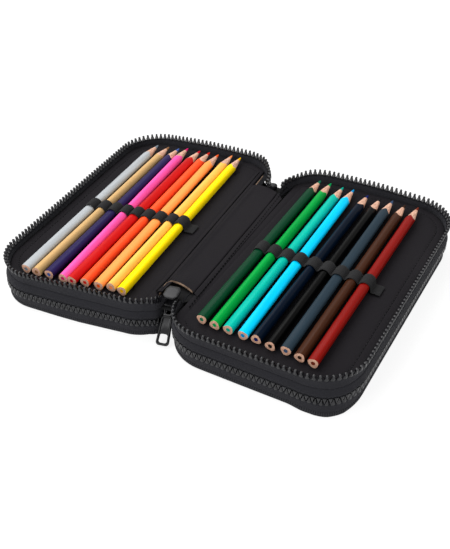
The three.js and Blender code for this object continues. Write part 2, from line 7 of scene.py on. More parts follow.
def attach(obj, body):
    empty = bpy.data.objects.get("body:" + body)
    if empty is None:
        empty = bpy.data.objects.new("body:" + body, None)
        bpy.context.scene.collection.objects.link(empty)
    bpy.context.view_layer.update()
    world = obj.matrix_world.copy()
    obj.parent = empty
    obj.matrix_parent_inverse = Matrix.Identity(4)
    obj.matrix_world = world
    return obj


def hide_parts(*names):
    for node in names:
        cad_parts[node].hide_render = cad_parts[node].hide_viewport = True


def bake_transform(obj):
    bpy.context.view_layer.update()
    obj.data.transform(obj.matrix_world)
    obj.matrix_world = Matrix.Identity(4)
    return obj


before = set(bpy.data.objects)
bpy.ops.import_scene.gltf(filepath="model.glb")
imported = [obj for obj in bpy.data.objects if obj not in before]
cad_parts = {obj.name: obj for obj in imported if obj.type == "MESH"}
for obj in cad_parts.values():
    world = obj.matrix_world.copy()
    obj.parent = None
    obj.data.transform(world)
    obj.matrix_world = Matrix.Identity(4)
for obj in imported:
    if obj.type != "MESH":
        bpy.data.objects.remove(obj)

# Zipped pencil case with three compartments, lying open. Shapes are worked out in millimetres.
scene = bpy.context.scene
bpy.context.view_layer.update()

caseShape = {
    'halfWidth': 122, 'halfDepth': 196, 'cornerRadius': 28, 'spineGap': 8, 'rearShift': 2.675,
    'foldHeight': 21, 'chainHeight': 11.2, 'toothPitch': 3.4,
}
halves = {'right': 1, 'left': -1}

cornerRadius = caseShape['cornerRadius']
rearShift = caseShape['rearShift']
spineEdge = caseShape['spineGap'] / 2
straightHalf = caseShape['halfDepth'] / 2 - cornerRadius
sideLength = caseShape['halfWidth'] - 2 * cornerRadius
arcLength = cornerRadius * math.pi / 2
pathLength = 4 * arcLength + 2 * sideLength + 2 * straightHalf
loopLength = pathLength + 2 * straightHalf

# The outline's knots: the ends of its arcs and straights, with the corner centre and heading at each
knots = np.cumsum([0, arcLength, sideLength, arcLength, 2 * straightHalf, arcLength, sideLength,
                   arcLength, 2 * straightHalf])
nearSpine = spineEdge + cornerRadius
farSpine = spineEdge + caseShape['halfWidth'] - cornerRadius
centreX = [nearSpine, nearSpine, farSpine, farSpine, farSpine, farSpine, nearSpine, nearSpine, nearSpine]
centreY = [-straightHalf] * 4 + [straightHalf] * 4 + [-straightHalf]
headings = np.array([1, 1.5, 1.5, 2, 2, 2.5, 2.5, 3, 3]) * math.pi


# Outline point: corner centre + (radius - inset) x heading, both read off between the knots.
def outline(distance, inset, side):
    angle = np.interp(distance, knots, headings)
    reach = cornerRadius - inset
    x = np.interp(distance, knots, centreX) + reach * np.cos(angle)
    y = np.interp(distance, knots, centreY) + reach * np.sin(angle)
    return side * x, y - rearShift


# Even distances along the outline, with its own knots among them.
def stations(start, end, step=2.0):
    even = np.linspace(start, end, max(2, int((end - start) / step)))
    inside = knots[(knots > start + 0.2) & (knots < end - 0.2)]
    return np.unique(np.round(np.concatenate([even, inside]), 4))


# Smooth step: 3 s squared - 2 s cubed, of a share s held between 0 and 1.
def smooth(value):
    share = np.clip(value, 0, 1)
    return share * share * (3 - 2 * share)


# Power that keeps the sign, which squares off sines and cosines.
def power(value, exponent):
    return np.sign(value) * np.abs(value) ** exponent


def circle(sides):
    return np.arange(sides) * 2 * math.pi / sides


# Widths, heights and distances in millimetres; From and Over say where a move starts and how soon it is full
stance = {
    'turns': {'left': 2.2, 'right': -1.2}, 'turnMiddle': 65, 'turnFrom': 2, 'turnOver': 8,
    'flare': 2.1, 'flareFrom': 21, 'flareOver': 8, 'flareSpine': 5, 'flareReach': 14,
    'drawn': 2.4, 'drawnFrom': 86, 'drawnOver': 30, 'drawnHeight': 17, 'drawnRise': 9,
    'farBow': 1.3, 'wallFrom': 45, 'wallOver': 40,
    'rise': 1.3, 'riseFrom': 22, 'riseOver': 4, 'riseTo': 105, 'riseFade': 45,
    'pinAt': 42, 'pinReach': 28, 'pinFade': 16, 'pinHeight': 21, 'pinDrop': 7,
    # how far the near walls stand in or out, by height (rows) and by place along X, and how far
    # the left half's near corner stands in
    'heights': (0, 11, 20, 27), 'corner': (0.4, 0.9, 1.0, -0.4), 'cornerFrom': 100, 'cornerOver': 16,
    'left': {
        'places': (-122, -95, -75, -60, -30, -14, -6),
        'moves': ((0.4, 0.7, 1.1, 1.8, 5.0, 4.0, 0), (0.2, 0.2, 1.2, 2.4, 5.6, 4.0, 0),
                  (1.0, 1.8, 2.6, 3.5, 5.8, 4.4, 0), (1.0, 2.0, 2.8, 4.5, 6.0, 4.6, 0))},
    'right': {
        'places': (12, 34, 60, 92, 105, 115, 122, 127),
        'moves': ((0, -1.0, -1.2, -1.3, -3.4, -6.4, -7.0, -4.0),
                  (0, -0.6, -0.7, -0.8, -1.6, -3.2, -3.4, -2.0),
                  (0, -0.4, -0.5, -0.6, -1.2, -2.4, -2.6, -1.2), (0, 0, 0, 0, 0, 0, 0, 0))},
}


# Value between the rows of a short list of lists: straight between places, then between heights.
def wallMove(x, z, wall):
    weights = np.eye(len(stance['heights']))
    return sum(np.interp(z, stance['heights'], weights[row]) * np.interp(x, wall['places'], moves)
               for row, moves in enumerate(wall['moves']))


# How the soft case stands. The rim flares out by flare x smooth(height) along the outline's
# heading and stands higher at the far walls; the left half's outer rim is drawn in; the far walls
# bow out by bow x sin(share of the wall) squared; the near walls stand in or out by height and
# place. Then each half is turned a little about its middle, fading out towards the spine. The
# outer zips' sliders keep their place: round them and below the rim nothing moves.
def settled(points):
    x, y, z = np.moveaxis(points, -1, 0)
    left = x < 0
    side = np.where(left, -1.0, 1.0)
    across, along = np.abs(x), y + rearShift
    headX = across - np.clip(across, nearSpine, farSpine)
    headY = along - np.clip(along, -straightHalf, straightHalf)
    size = np.maximum(np.hypot(headX, headY), 1)
    awayFromSpine = smooth((across - stance['flareSpine']) / stance['flareReach'])
    flare = stance['flare'] * smooth((z - stance['flareFrom']) / stance['flareOver']) / size * awayFromSpine
    rim = smooth((z - stance['drawnHeight']) / stance['drawnRise'])
    drawn = stance['drawn'] * rim * smooth((across - stance['drawnFrom']) / stance['drawnOver'])
    wall = np.clip((across - spineEdge) / caseShape['halfWidth'], 0, 1)
    far = smooth((y - stance['wallFrom']) / stance['wallOver'])
    near = smooth((-y - stance['wallFrom']) / stance['wallOver'])
    corner = np.interp(z, stance['heights'], stance['corner']) * near
    corner = corner * smooth((across - stance['cornerFrom']) / stance['cornerOver'])
    moves = np.where(left, wallMove(x, z, stance['left']), wallMove(x, z, stance['right']))
    moveX = side * headX * flare + (drawn + corner) * left
    moveY = headY * flare + stance['farBow'] * np.sin(math.pi * wall) ** 2 * far + moves * near
    higher = stance['rise'] * smooth((z - stance['riseFrom']) / stance['riseOver']) * awayFromSpine
    higher = higher * smooth((stance['riseTo'] - across) / stance['riseFade'])
    moveZ = higher * np.maximum(far, near * left)
    angle = np.radians(np.where(left, stance['turns']['left'], stance['turns']['right']))
    angle = angle * smooth((across - stance['turnFrom']) / stance['turnOver'])
    middle = side * stance['turnMiddle']
    pinned = smooth((stance['pinReach'] - np.abs(across - stance['pinAt'])) / stance['pinFade']) * far
    loose = 1 - pinned * smooth((stance['pinHeight'] - z) / stance['pinDrop'])
    moveX = moveX - angle * y
    moveY = moveY + angle * (x - middle)
    return np.stack([x + moveX * loose, y + moveY * loose, z + moveZ], -1)


# Smooth wander without randomness: a few sines of unlike lengths, between -1 and 1.
def wander(distance, phase):
    return (np.sin(distance / 31 + phase) + 0.6 * np.sin(distance / 13.7 + 2.1 * phase)
            + 0.4 * np.sin(distance / 6.1 + 3.7 * phase)) / 2


# Corner cutting: each corner of a closed profile is replaced by points a quarter along its two
# sides, as many times as asked.
def rounded(profile, times=2):
    points = np.array(profile, float)
    for _ in range(times):
        following = np.roll(points, -1, axis=0)
        points = np.stack([0.75 * points + 0.25 * following,
                           0.25 * points + 0.75 * following], 1).reshape(-1, 2)
    return points


def newObject(name, mesh, material):
    piece = bpy.data.objects.new(name, mesh)
    scene.collection.objects.link(piece)
    for one in material if isinstance(material, list) else [material]:
        mesh.materials.append(one)
    return piece


# Mesh from points in millimetres, shaded smooth but for edges sharper than an angle.
def newMesh(name, points, faces, sharp):
    mesh = bpy.data.meshes.new(name)
    mesh.from_pydata((points.reshape(-1, 3) / 1000).tolist(), [], faces)
    mesh.shade_smooth()
    mesh.set_sharp_from_angle(angle=math.radians(sharp))
    return mesh


# Tubes to mesh. Points are rows x columns x 3, or several such tubes at once. Rows are joined by
# quads, columns close on themselves, and the first and last row are capped unless the rows close
# too. Faces are turned so that the volume about a tube's middle, the sum of
# corner . (next x next but one) / 6, is positive.
def tubeMesh(name, points, material, uv=None, sharp=40, zones=None, ring=False):
    rows, columns = points.shape[-3:-1]
    tubes = points.reshape(-1, rows * columns, 3)
    i, j = np.meshgrid(np.arange(rows if ring else rows - 1), np.arange(columns), indexing='ij')
    after = (j + 1) % columns
    below = (i + 1) % rows
    quads = np.stack([i * columns + j, i * columns + after,
                      below * columns + after, below * columns + j], -1).reshape(-1, 4)
    corners = (tubes[0] - tubes[0].mean(0))[quads]
    volume = np.einsum('ij,ij->', corners[:, 0], np.cross(corners[:, 1], corners[:, 2])
                       + np.cross(corners[:, 2], corners[:, 3]))
    order = [0, 1, 2, 3] if volume > 0 else [3, 2, 1, 0]
    starts = np.arange(len(tubes))[:, None] * rows * columns
    faces = (quads[:, order] + starts[..., None]).reshape(-1, 4).tolist()
    first = np.arange(columns)
    for cap in [] if ring else [first[::-1], first + (rows - 1) * columns]:
        faces += ((cap if volume > 0 else cap[::-1]) + starts).tolist()
    mesh = newMesh(name, tubes, faces, sharp)
    if uv is not None:
        across, along = uv
        cornerU = np.stack([across[i], across[i], across[i + 1], across[i + 1]], -1)
        cornerV = np.stack([along[j], along[j + 1], along[j + 1], along[j]], -1)
        values = np.stack([cornerU, cornerV], -1).reshape(-1, 4, 2)[:, order].reshape(-1, 2) / 1000
        full = np.zeros((len(mesh.loops), 2))
        full[:len(values)] = values
        mesh.uv_layers.new(name='UVMap').data.foreach_set('uv', full.ravel())
    if zones is not None:
        indices = np.concatenate([np.repeat(zones, columns), [zones[0], zones[-1]]])
        mesh.polygons.foreach_set('material_index', indices)
    return newObject(name, mesh, material)


def finish(piece, body, *nodes):
    if nodes:
        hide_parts(*nodes)
    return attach(piece, body)


# Slab: a grid of cloth, x growing along its columns and y along its rows, with a top and a bottom
# half a thickness off, and quads round the border between them.
def slabMesh(name, x, y, z, thickness, material):
    rows, columns = x.shape
    points = np.stack([np.stack([x, y, z + lift], -1) for lift in (thickness / 2, -thickness / 2)])
    index = np.arange(rows * columns).reshape(rows, columns)
    top = np.stack([index[:-1, :-1], index[:-1, 1:], index[1:, 1:], index[1:, :-1]], -1).reshape(-1, 4)
    around = np.concatenate([index[0, :-1], index[:-1, -1], index[-1, :0:-1], index[:0:-1, 0]])
    after = np.roll(around, -1)
    rim = np.stack([around + index.size, after + index.size, after, around], -1)
    faces = np.concatenate([top, top[:, ::-1] + index.size, rim])
    return newObject(name, newMesh(name, points, faces.tolist(), 50), material)


# Round corners: a convex outline's vertex gets a centre at vertex - radius x (n1 + n2) /
# (1 + n1 . n2), and an arc about it between its two sides' outward headings n1 and n2.
def roundCorners(vertices, radius):
    points = np.array(vertices, float)
    edges = np.roll(points, -1, 0) - points
    after = np.stack([edges[:, 1], -edges[:, 0]], -1) / np.hypot(*edges.T)[:, None]
    before = np.roll(after, 1, 0)
    radii = np.broadcast_to(radius, len(points)).astype(float)
    centres = points - radii[:, None] * (before + after) / (1 + (before * after).sum(1))[:, None]
    headingsBefore = np.arctan2(before[:, 1], before[:, 0])
    turns = (np.arctan2(after[:, 1], after[:, 0]) - headingsBefore) % (2 * math.pi)
    return centres, radii, headingsBefore[0] + np.concatenate([[0], np.repeat(np.cumsum(turns), 2)])


# Four corners about X = 0, which may be narrower at the top.
def boxCorners(width, bottom, top, radius, topWidth=None):
    low, high = width / 2, (topWidth or width) / 2
    return roundCorners([(-low, bottom), (low, bottom), (high, top), (-high, top)], radius)


# Ring point: centre + (radius - inset) x heading, read off between the corners, then drawn towards
# the ring's middle by the scale.
def roundRing(corners, inset=0.0, scale=1.0, arc=5, side=3):
    centres, radii, turned = corners
    count = len(centres)
    leg = np.concatenate([np.linspace(0, 1, arc), 1 + (np.arange(side) + 1) / (side + 1)])
    legs = (2 * np.arange(count)[:, None] + leg).ravel()
    knot = np.arange(2 * count + 1)
    order = np.append(np.repeat(np.arange(count), 2), 0)
    reach = np.interp(legs, knot, radii[order]) - inset
    angle = np.interp(legs, knot, turned)
    ring = np.stack([np.interp(legs, knot, centres[order, axis]) + reach * turn
                     for axis, turn in ((0, np.cos(angle)), (1, np.sin(angle)))], -1)
    return ring.mean(0) + scale * (ring - ring.mean(0))


def inFrame(points, frame4):
    return points @ np.array(frame4.to_3x3()).T + np.array(frame4.translation)


# Stack: rings one above the other, each (corners, inset, scale, height), in a frame of its own.
def stackPoints(levels, frame4, **steps):
    rings = []
    for corners, inset, scale, height in levels:
        ring = roundRing(corners, inset, scale, **steps)
        rings.append(np.column_stack([ring, np.full(len(ring), height)]))
    return inFrame(np.array(rings), frame4)


def basis(x, y, z, origin):
    return Matrix.Translation(origin) @ Matrix((x, y, z)).transposed().to_4x4()


def turnedAbout(axis, degrees):
    return Matrix.Rotation(math.radians(degrees), 4, axis)


def joinPieces(name, pieces):
    with bpy.context.temp_override(active_object=pieces[0], selected_editable_objects=pieces):
        bpy.ops.object.join()
    pieces[0].name = name
    pieces[0].data.name = name
    return pieces[0]


# How a line of points runs on: unit steps along it.
def stepsAlong(path):
    step = np.gradient(path, axis=0)
    return step / np.hypot(*step.T)[:, None]


# Wall: a closed profile of (inset, height) carried along the outline from start to end.
def wallPiece(name, profile, start, end, side, material, step=2.0, ripple=0.0, phase=0.0, lift=None):
    along = stations(start, end, step)
    inset = profile[:, 0] + ripple * wander(along, phase)[:, None]
    height = np.broadcast_to(profile[:, 1], inset.shape)
    if lift is not None:
        height = lift(along[:, None], height)
    x, y = outline(along[:, None], inset, side)
    closed = np.vstack([profile, profile[:1]])
    around = np.concatenate([[0], np.cumsum(np.hypot(*np.diff(closed, axis=0).T))])
    return tubeMesh(name, settled(np.stack([x, y, height], -1)), material, uv=(along, around))


# Teeth: each is a column of rounded-square rings. A ring's point is (centre + half width x
# power-cosine, inset + half depth x power-sine) at its share of the height from foot to tip.
def toothRow(name, centres, foot, tip, inset, form, side):
    turn = circle(teethShape['sides']) + math.pi / teethShape['sides']
    share, width, depth = np.array(form['rings']).T[..., None]
    middle, foot, tip = (np.broadcast_to(value, centres.shape)[:, None, None]
                         for value in (centres, foot, tip))
    along = middle + width / 2 * power(np.cos(turn), form['squareness'])
    across = inset + depth / 2 * power(np.sin(turn), form['squareness']) + 0 * along
    height = foot + (tip - foot) * share + 0 * along
    x, y = outline(along, across, side)
    return tubeMesh(name, settled(np.stack([x, y, height], -1)), teethPlastic, sharp=teethShape['sharp'])


# Stitches: short spindles that follow a path. Ring radius = radius x sqrt(1 - share squared).
# place(distance, sideways, outwards) gives the point beside the path.
def stitchRow(name, starts, radius, place, material):
    share = np.array([-0.98, -0.7, 0, 0.7, 0.98])[:, None]
    turn = circle(5)
    ring = radius * np.sqrt(1 - share ** 2)
    along = starts[:, None, None] + share * stitchShape['length'] / 2 + 0 * turn
    return tubeMesh(name, place(along, ring * np.cos(turn), ring * np.sin(turn)), material, sharp=180)


# Groove: a thin ribbon of painted shade, a flat ellipse in section, that lies in a sewn seam.
def grooveLine(name, distances, width, sunk, place):
    turn = circle(8)
    along = distances[:, None] + 0 * turn
    sideways = width / 2 * np.cos(turn) + 0 * along
    outwards = stitchShape['grooveDepth'] * np.sin(turn) - sunk + 0 * along
    return tubeMesh(name, place(along, sideways, outwards), grooveShade)


def linear(red, green, blue):
    return [(value / 255 / 12.92) if value <= 10 else ((value / 255 + 0.055) / 1.055) ** 2.4
            for value in (red, green, blue)] + [1]


# Each named socket is linked to an output, or set to a constant.
def connect(tree, node, sources):
    for socket, source in dict(sources).items():
        if hasattr(source, 'is_output'):
            tree.links.new(source, node.inputs[socket])
        else:
            node.inputs[socket].default_value = source
    return node


def addNode(tree, kind, sources=(), **values):
    node = tree.nodes.new('ShaderNode' + kind)
    for key, value in values.items():
        setattr(node, key, value)
    return connect(tree, node, sources)


def maths(tree, operation, first, second=0.0):
    return addNode(tree, 'Math', {0: first, 1: second}, operation=operation).outputs[0]


def noise(tree, vector, scale, detail):
    return addNode(tree, 'TexNoise', {'Vector': vector, 'Scale': scale, 'Detail': detail}).outputs['Fac']


def spread(tree, value, low, high):
    return addNode(tree, 'MapRange', {'Value': value, 'To Min': low, 'To Max': high}).outputs[0]


def nodeGroup(name, inputs, outputs):
    group = bpy.data.node_groups.new(name, 'ShaderNodeTree')
    for socket, value in {'Vector': (0.0, 0.0, 0.0), **inputs}.items():
        kind = 'NodeSocketVector' if isinstance(value, tuple) else 'NodeSocketFloat'
        group.interface.new_socket(socket, in_out='INPUT', socket_type=kind).default_value = value
    for socket in outputs:
        group.interface.new_socket(socket, in_out='OUTPUT', socket_type='NodeSocketFloat')
    return group, group.nodes.new('NodeGroupInput').outputs, group.nodes.new('NodeGroupOutput')


# Cloud is a slow noise for the tint.
def weaveGroup():
    group, given, result = nodeGroup('plainWeave', {'Threads': 1600.0, 'Slub': 0.3}, ['Height', 'Cloud'])
    sizes = {0: given['Vector'], 'Scale': given['Threads']}
    scaled = addNode(group, 'VectorMath', sizes, operation='SCALE').outputs[0]
    split = addNode(group, 'SeparateXYZ', {0: scaled})
    checker = addNode(group, 'TexChecker', {'Vector': scaled, 'Scale': 1.0}).outputs['Fac']
    height = maths(group, 'MULTIPLY', noise(group, scaled, 0.35, 2.0), given['Slub'])
    for axis, shown in enumerate((checker, maths(group, 'SUBTRACT', 1.0, checker))):
        turned = maths(group, 'MULTIPLY', split.outputs[axis], math.pi)
        wave = maths(group, 'ABSOLUTE', maths(group, 'SINE', turned))
        height = maths(group, 'ADD', height, maths(group, 'MULTIPLY', wave, shown))
    connect(group, result, {'Height': height, 'Cloud': noise(group, given['Vector'], 60.0, 4.0)})
    return group


# Ribs: height = |sin| across the chosen direction, as on grosgrain and elastic.
def ribGroup():
    group, given, result = nodeGroup('crossRibs', {'Ribs': (1000.0, 0.0, 0.0)}, ['Height'])
    dot = addNode(group, 'VectorMath', {0: given['Vector'], 1: given['Ribs']}, operation='DOT_PRODUCT')
    turned = maths(group, 'MULTIPLY', dot.outputs['Value'], math.pi)
    wave = maths(group, 'ABSOLUTE', maths(group, 'SINE', turned))
    fine = maths(group, 'MULTIPLY', noise(group, given['Vector'], 2600.0, 2.0), 0.5)
    connect(group, result, {'Height': maths(group, 'ADD', wave, fine)})
    return group


# Moulded grain: fine noise for height, and a broad noise for scuffed, less shiny patches.
def grainGroup():
    group, given, result = nodeGroup('mouldedGrain', {'Grain': 2500.0}, ['Height', 'Scuff'])
    connect(group, result, {'Height': noise(group, given['Vector'], given['Grain'], 3.0),
                            'Scuff': noise(group, given['Vector'], 220.0, 5.0)})
    return group


weave, ribs, grain = weaveGroup(), ribGroup(), grainGroup()


def emptyTree(owner):
    owner.use_nodes = True
    owner.node_tree.nodes.clear()
    return owner.node_tree


def newMaterial(name):
    material = bpy.data.materials.new(name)
    tree = emptyTree(material)
    return material, tree, addNode(tree, 'TexCoord').outputs


def grouped(tree, group, vector, **values):
    return connect(tree, addNode(tree, 'Group', node_tree=group), {'Vector': vector, **values}).outputs


def blendColours(tree, factor, dark, light, low=0.0, high=1.0):
    ramp = addNode(tree, 'ValToRGB', {'Fac': factor})
    for index, (colour, position) in enumerate(((dark, low), (light, high))):
        ramp.color_ramp.elements[index].color = linear(*colour)
        ramp.color_ramp.elements[index].position = position
    return ramp.outputs[0]


# Surface: colour, roughness and height vary over it, and other sockets are constants.
def dress(tree, colour, roughness, height, strength, depth, **constants):
    bump = addNode(tree, 'Bump', {'Height': height, 'Strength': strength, 'Distance': depth})
    shader = addNode(tree, 'BsdfPrincipled', {'Base Color': colour, 'Roughness': roughness,
                                              'Normal': bump.outputs[0]})
    names = {'sheen': 'Sheen Weight', 'sheenRoughness': 'Sheen Roughness', 'specular': 'Specular IOR Level',
             'coat': 'Coat Weight', 'coatRoughness': 'Coat Roughness'}
    connect(tree, shader, {names[key]: value for key, value in constants.items()})
    addNode(tree, 'OutputMaterial', {0: shader.outputs[0]})


def clothMaterial(name, dark, light, threads, coordinates='UV', roughness=0.85, depth=0.00012, sheen=0.03,
                  specular=0.15):
    material, tree, where = newMaterial(name)
    cloth = grouped(tree, weave, where[coordinates], Threads=threads)
    # the tint follows the weave's height, painted shade between the threads, and the slow cloud, the cloth's
    # own uneven tone
    tint = maths(tree, 'ADD', maths(tree, 'MULTIPLY', cloth['Height'], 0.45),
                 maths(tree, 'MULTIPLY', cloth['Cloud'], 0.45))
    dress(tree, blendColours(tree, tint, dark, light),
          spread(tree, cloth['Cloud'], roughness - 0.08, roughness + 0.08),
          cloth['Height'], 0.7, depth, sheen=sheen, sheenRoughness=0.5, specular=specular)
    return material


def ribMaterial(name, dark, light, direction, coordinates='UV', depth=0.0002):
    material, tree, where = newMaterial(name)
    height = grouped(tree, ribs, where[coordinates], Ribs=direction)['Height']
    # colour follows the rib height: painted shade darkens the valleys between the ribs
    colour = blendColours(tree, maths(tree, 'MULTIPLY', height, 0.7), dark, light)
    dress(tree, colour, spread(tree, height, 0.95, 0.75), height, 0.8, depth, sheen=0.03, specular=0.12)
    return material


def mouldedMaterial(name, colour, worn, roughness, specular, coat=0.0):
    material, tree, where = newMaterial(name)
    moulded = grouped(tree, grain, where['Object'])
    dress(tree, blendColours(tree, moulded['Scuff'], colour, worn, 0.35, 0.75),
          spread(tree, moulded['Scuff'], roughness - 0.1, roughness + 0.15),
          moulded['Height'], 0.4, 0.00003, specular=specular, coat=coat, coatRoughness=0.25)
    return material


# Noise drawn out along the pencils, for the grain of wood and the streaks of lacquer.
def streaks(tree, where, stretch, scale, detail):
    drawnOut = addNode(tree, 'Mapping', {'Vector': where['Object'], 'Scale': (1.0, stretch, 1.0)})
    return noise(tree, drawnOut.outputs[0], scale, detail)


def woodMaterial(name, dark, light):
    material, tree, where = newMaterial(name)
    fibres = streaks(tree, where, 0.08, 1500.0, 4.0)
    dress(tree, blendColours(tree, fibres, dark, light, 0.3, 0.7), spread(tree, fibres, 0.6, 0.8),
          fibres, 0.3, 0.00005)
    return material


# Lacquer on a pencil: nearly even colour with a faint streak along it, under a soft gloss.
def lacquerMaterial(name, colour, roughness=0.32):
    material, tree, where = newMaterial(name)
    streak = streaks(tree, where, 0.05, 500.0, 3.0)
    shade = [value * 0.92 for value in colour]
    dress(tree, blendColours(tree, streak, shade, colour, 0.25, 0.6),
          spread(tree, streak, roughness - 0.05, roughness + 0.08), streak, 0.15, 0.00003, specular=0.05)
    return material


gussetCloth = clothMaterial('gussetCloth', (8, 8, 11), (36, 36, 41), 1900.0)
tapeCloth = clothMaterial('tapeCloth', (14, 14, 17), (38, 38, 43), 2600.0)
# near-black cloth of painted shade, for the shadow under the band and under the slider and stop
paintedShadeCloth = clothMaterial('paintedShadeCloth', (4, 4, 5), (15, 15, 17), 2600.0)
coverCloth = clothMaterial('coverCloth', (20, 20, 23), (42, 42, 47), 1700.0, 'Object')
liningCloth = clothMaterial('liningCloth', (16, 14, 17), (30, 28, 31), 4200.0, 'Object', roughness=0.7,
                            depth=0.00003, sheen=0.01, specular=0.05)
bindingTape = ribMaterial('bindingTape', (5, 5, 6), (44, 44, 48), (700.0, 0.0, 0.0), depth=0.0004)
elasticTape = ribMaterial('elasticTape', (10, 10, 11), (30, 30, 31), (0.0, 900.0, 0.0), 'Object')
teethPlastic = mouldedMaterial('teethPlastic', (11, 11, 14), (27, 27, 31), 0.3, 0.42)
enamel = mouldedMaterial('enamel', (11, 11, 13), (24, 24, 27), 0.3, 0.18, coat=0.05)
thread = mouldedMaterial('thread', (14, 14, 16), (34, 34, 37), 0.7, 0.15)
# painted shade for the sewn grooves and the fold seams' stitches
grooveShade = mouldedMaterial('grooveShade', (5, 5, 6), (10, 10, 11), 0.9, 0.05)
rawEdge = mouldedMaterial('rawEdge', (82, 66, 54), (138, 116, 98), 0.9, 0.1)
cedar = woodMaterial('cedar', (172, 124, 100), (230, 186, 160))
print('materials made')

view = {'azimuth': 28.64, 'elevation': 37.63, 'roll': -1.08, 'distance': 566, 'target': (2.27, -12.5, 0),
        'focalPixels': 838.6, 'longSide': 549, 'sensor': 36}
azimuth, elevation, roll = (math.radians(view[key]) for key in ('azimuth', 'elevation', 'roll'))
back = Vector((math.sin(azimuth) * math.cos(elevation), -math.cos(azimuth) * math.cos(elevation),
               math.sin(elevation)))
levelRight = Vector((math.cos(azimuth), math.sin(azimuth), 0))
levelUp = back.cross(levelRight)
right = levelRight * math.cos(roll) + levelUp * math.sin(roll)
up = levelUp * math.cos(roll) - levelRight * math.sin(roll)
lens = bpy.data.cameras.new('photoCamera')
lens.sensor_width = view['sensor']
lens.lens = view['focalPixels'] / view['longSide'] * view['sensor']
lens.clip_start = 0.01
camera = bpy.data.objects.new('photoCamera', lens)
scene.collection.objects.link(camera)
camera.matrix_world = basis(right, up, back, (Vector(view['target']) + back * view['distance']) / 1000)
scene.camera = camera
scene.view_settings.view_transform = 'Standard'

# lamps: name, place, size and power
studio = {'floorSize': 6.0, 'floorColour': 0.8, 'floorSeen': 0.2, 'floorGlow': 0.84, 'worldLight': 0.45,
          'lamps': [('topLamp', (-0.45, 0.25, 0.9), 0.9, 10.8), ('frontLamp', (-0.45, -0.95, 0.5), 0.7, 8.6),
                    ('sideLamp', (0.9, -0.35, 0.6), 0.6, 4.4)]}


# One shader for light that the case receives, another for what is seen itself, in a gloss or
# through glass.
def lightOrSeen(tree, light, seen):
    rays = addNode(tree, 'LightPath').outputs
    indirect = maths(tree, 'MAXIMUM', rays['Is Glossy Ray'], rays['Is Transmission Ray'])
    direct = maths(tree, 'MAXIMUM', rays['Is Camera Ray'], indirect)
    return addNode(tree, 'MixShader', {0: direct, 1: light.outputs[0], 2: seen.outputs[0]}).outputs[0]


paleFloor = bpy.data.materials.new('paleFloor')
tree = emptyTree(paleFloor)
plain, shown = (addNode(tree, 'BsdfDiffuse', {'Color': [studio[key]] * 3 + [1]})
                for key in ('floorColour', 'floorSeen'))
glow = addNode(tree, 'Emission', {'Color': (1, 1, 1, 1), 'Strength': studio['floorGlow']})
both = addNode(tree, 'AddShader', {0: shown.outputs[0], 1: glow.outputs[0]})
addNode(tree, 'OutputMaterial', {0: lightOrSeen(tree, plain, both)})
wide = studio['floorSize'] / 2
floorMesh = bpy.data.meshes.new('floor')
corners = [(-wide, -wide, 0), (wide, -wide, 0), (wide, wide, 0), (-wide, wide, 0)]
floorMesh.from_pydata(corners, [], [(0, 1, 2, 3)])
newObject('floor', floorMesh, paleFloor)

world = bpy.data.worlds.new('studio')
scene.world = world
tree = emptyTree(world)
soft, white = (addNode(tree, 'Background', {'Color': (1, 1, 1, 1), 'Strength': strength})
               for strength in (studio['worldLight'], 1.0))
addNode(tree, 'OutputWorld', {0: lightOrSeen(tree, soft, white)})

for name, spot, size, energy in studio['lamps']:
    lamp = bpy.data.lights.new(name, 'AREA')
    lamp.size = size
    lamp.energy = energy
    holder = bpy.data.objects.new(name, lamp)
    scene.collection.objects.link(holder)
    holder.location = spot
    holder.rotation_euler = Vector(spot).to_track_quat('Z', 'Y').to_euler()
print('camera, floor and light made')

wallShape = {
    'band': [(-1.35, 14.9), (-1.0, 16.2), (-0.5, 17.6), (-0.25, 18.5), (0.15, 19.3), (1.2, 19.3),
             (1.45, 18.4), (1.35, 17.0), (0.7, 15.8), (0.25, 14.9), (-0.5, 14.5)],
    'tape': [(0.55, 18.9), (0.2, 20.0), (0.15, 22.4), (0.4, 24.6), (0.7, 25.5), (1.25, 25.5), (1.5, 24.6),
             (1.45, 22.5), (1.3, 18.9)],
    'upperTape': [(0.35, 13.2), (0.9, 15.2), (1.3, 17.0), (2.2, 17.2), (1.9, 15.0), (1.35, 13.0),
                  (0.85, 12.6)],
    'lowerTape': [(0.6, 2.9), (0.2, 4.4), (-0.1, 7.0), (-0.15, 8.0), (0.2, 8.5), (0.7, 7.6), (1.2, 5.8),
                  (1.4, 2.9)],
    'binding': [(1.6, 0.4), (0.6, 0.5), (0.0, 1.1), (-0.15, 1.9), (0.05, 2.8), (0.8, 3.4), (1.7, 3.4),
                (2.2, 2.4), (2.4, 1.2)],
    'backPanel': [(0.1, 11.6), (-0.1, 14.0), (0.05, 18.0), (0.3, 20.75), (1.1, 20.75), (1.4, 18.0),
                  (1.3, 14.0), (1.2, 11.6)],
    'lowerBack': [(1.3, 0.6), (0.4, 1.2), (0.0, 2.6), (0.0, 4.0), (0.1, 8.0), (0.1, 11.8), (1.2, 11.8),
                  (1.4, 8.0), (1.7, 4.0), (2.6, 1.2)],
    'rimAngle': 33, 'ripple': 0.12, 'backRipple': 0.1, 'phases': {'right': 0.7, 'left': 2.9}, 'backGap': 0.3,
    'hingeBend': (7.5, 11.0),
}
rimStart = cornerRadius * math.radians(wallShape['rimAngle'])
backStart, backEnd = pathLength + wallShape['backGap'], loopLength - wallShape['backGap']
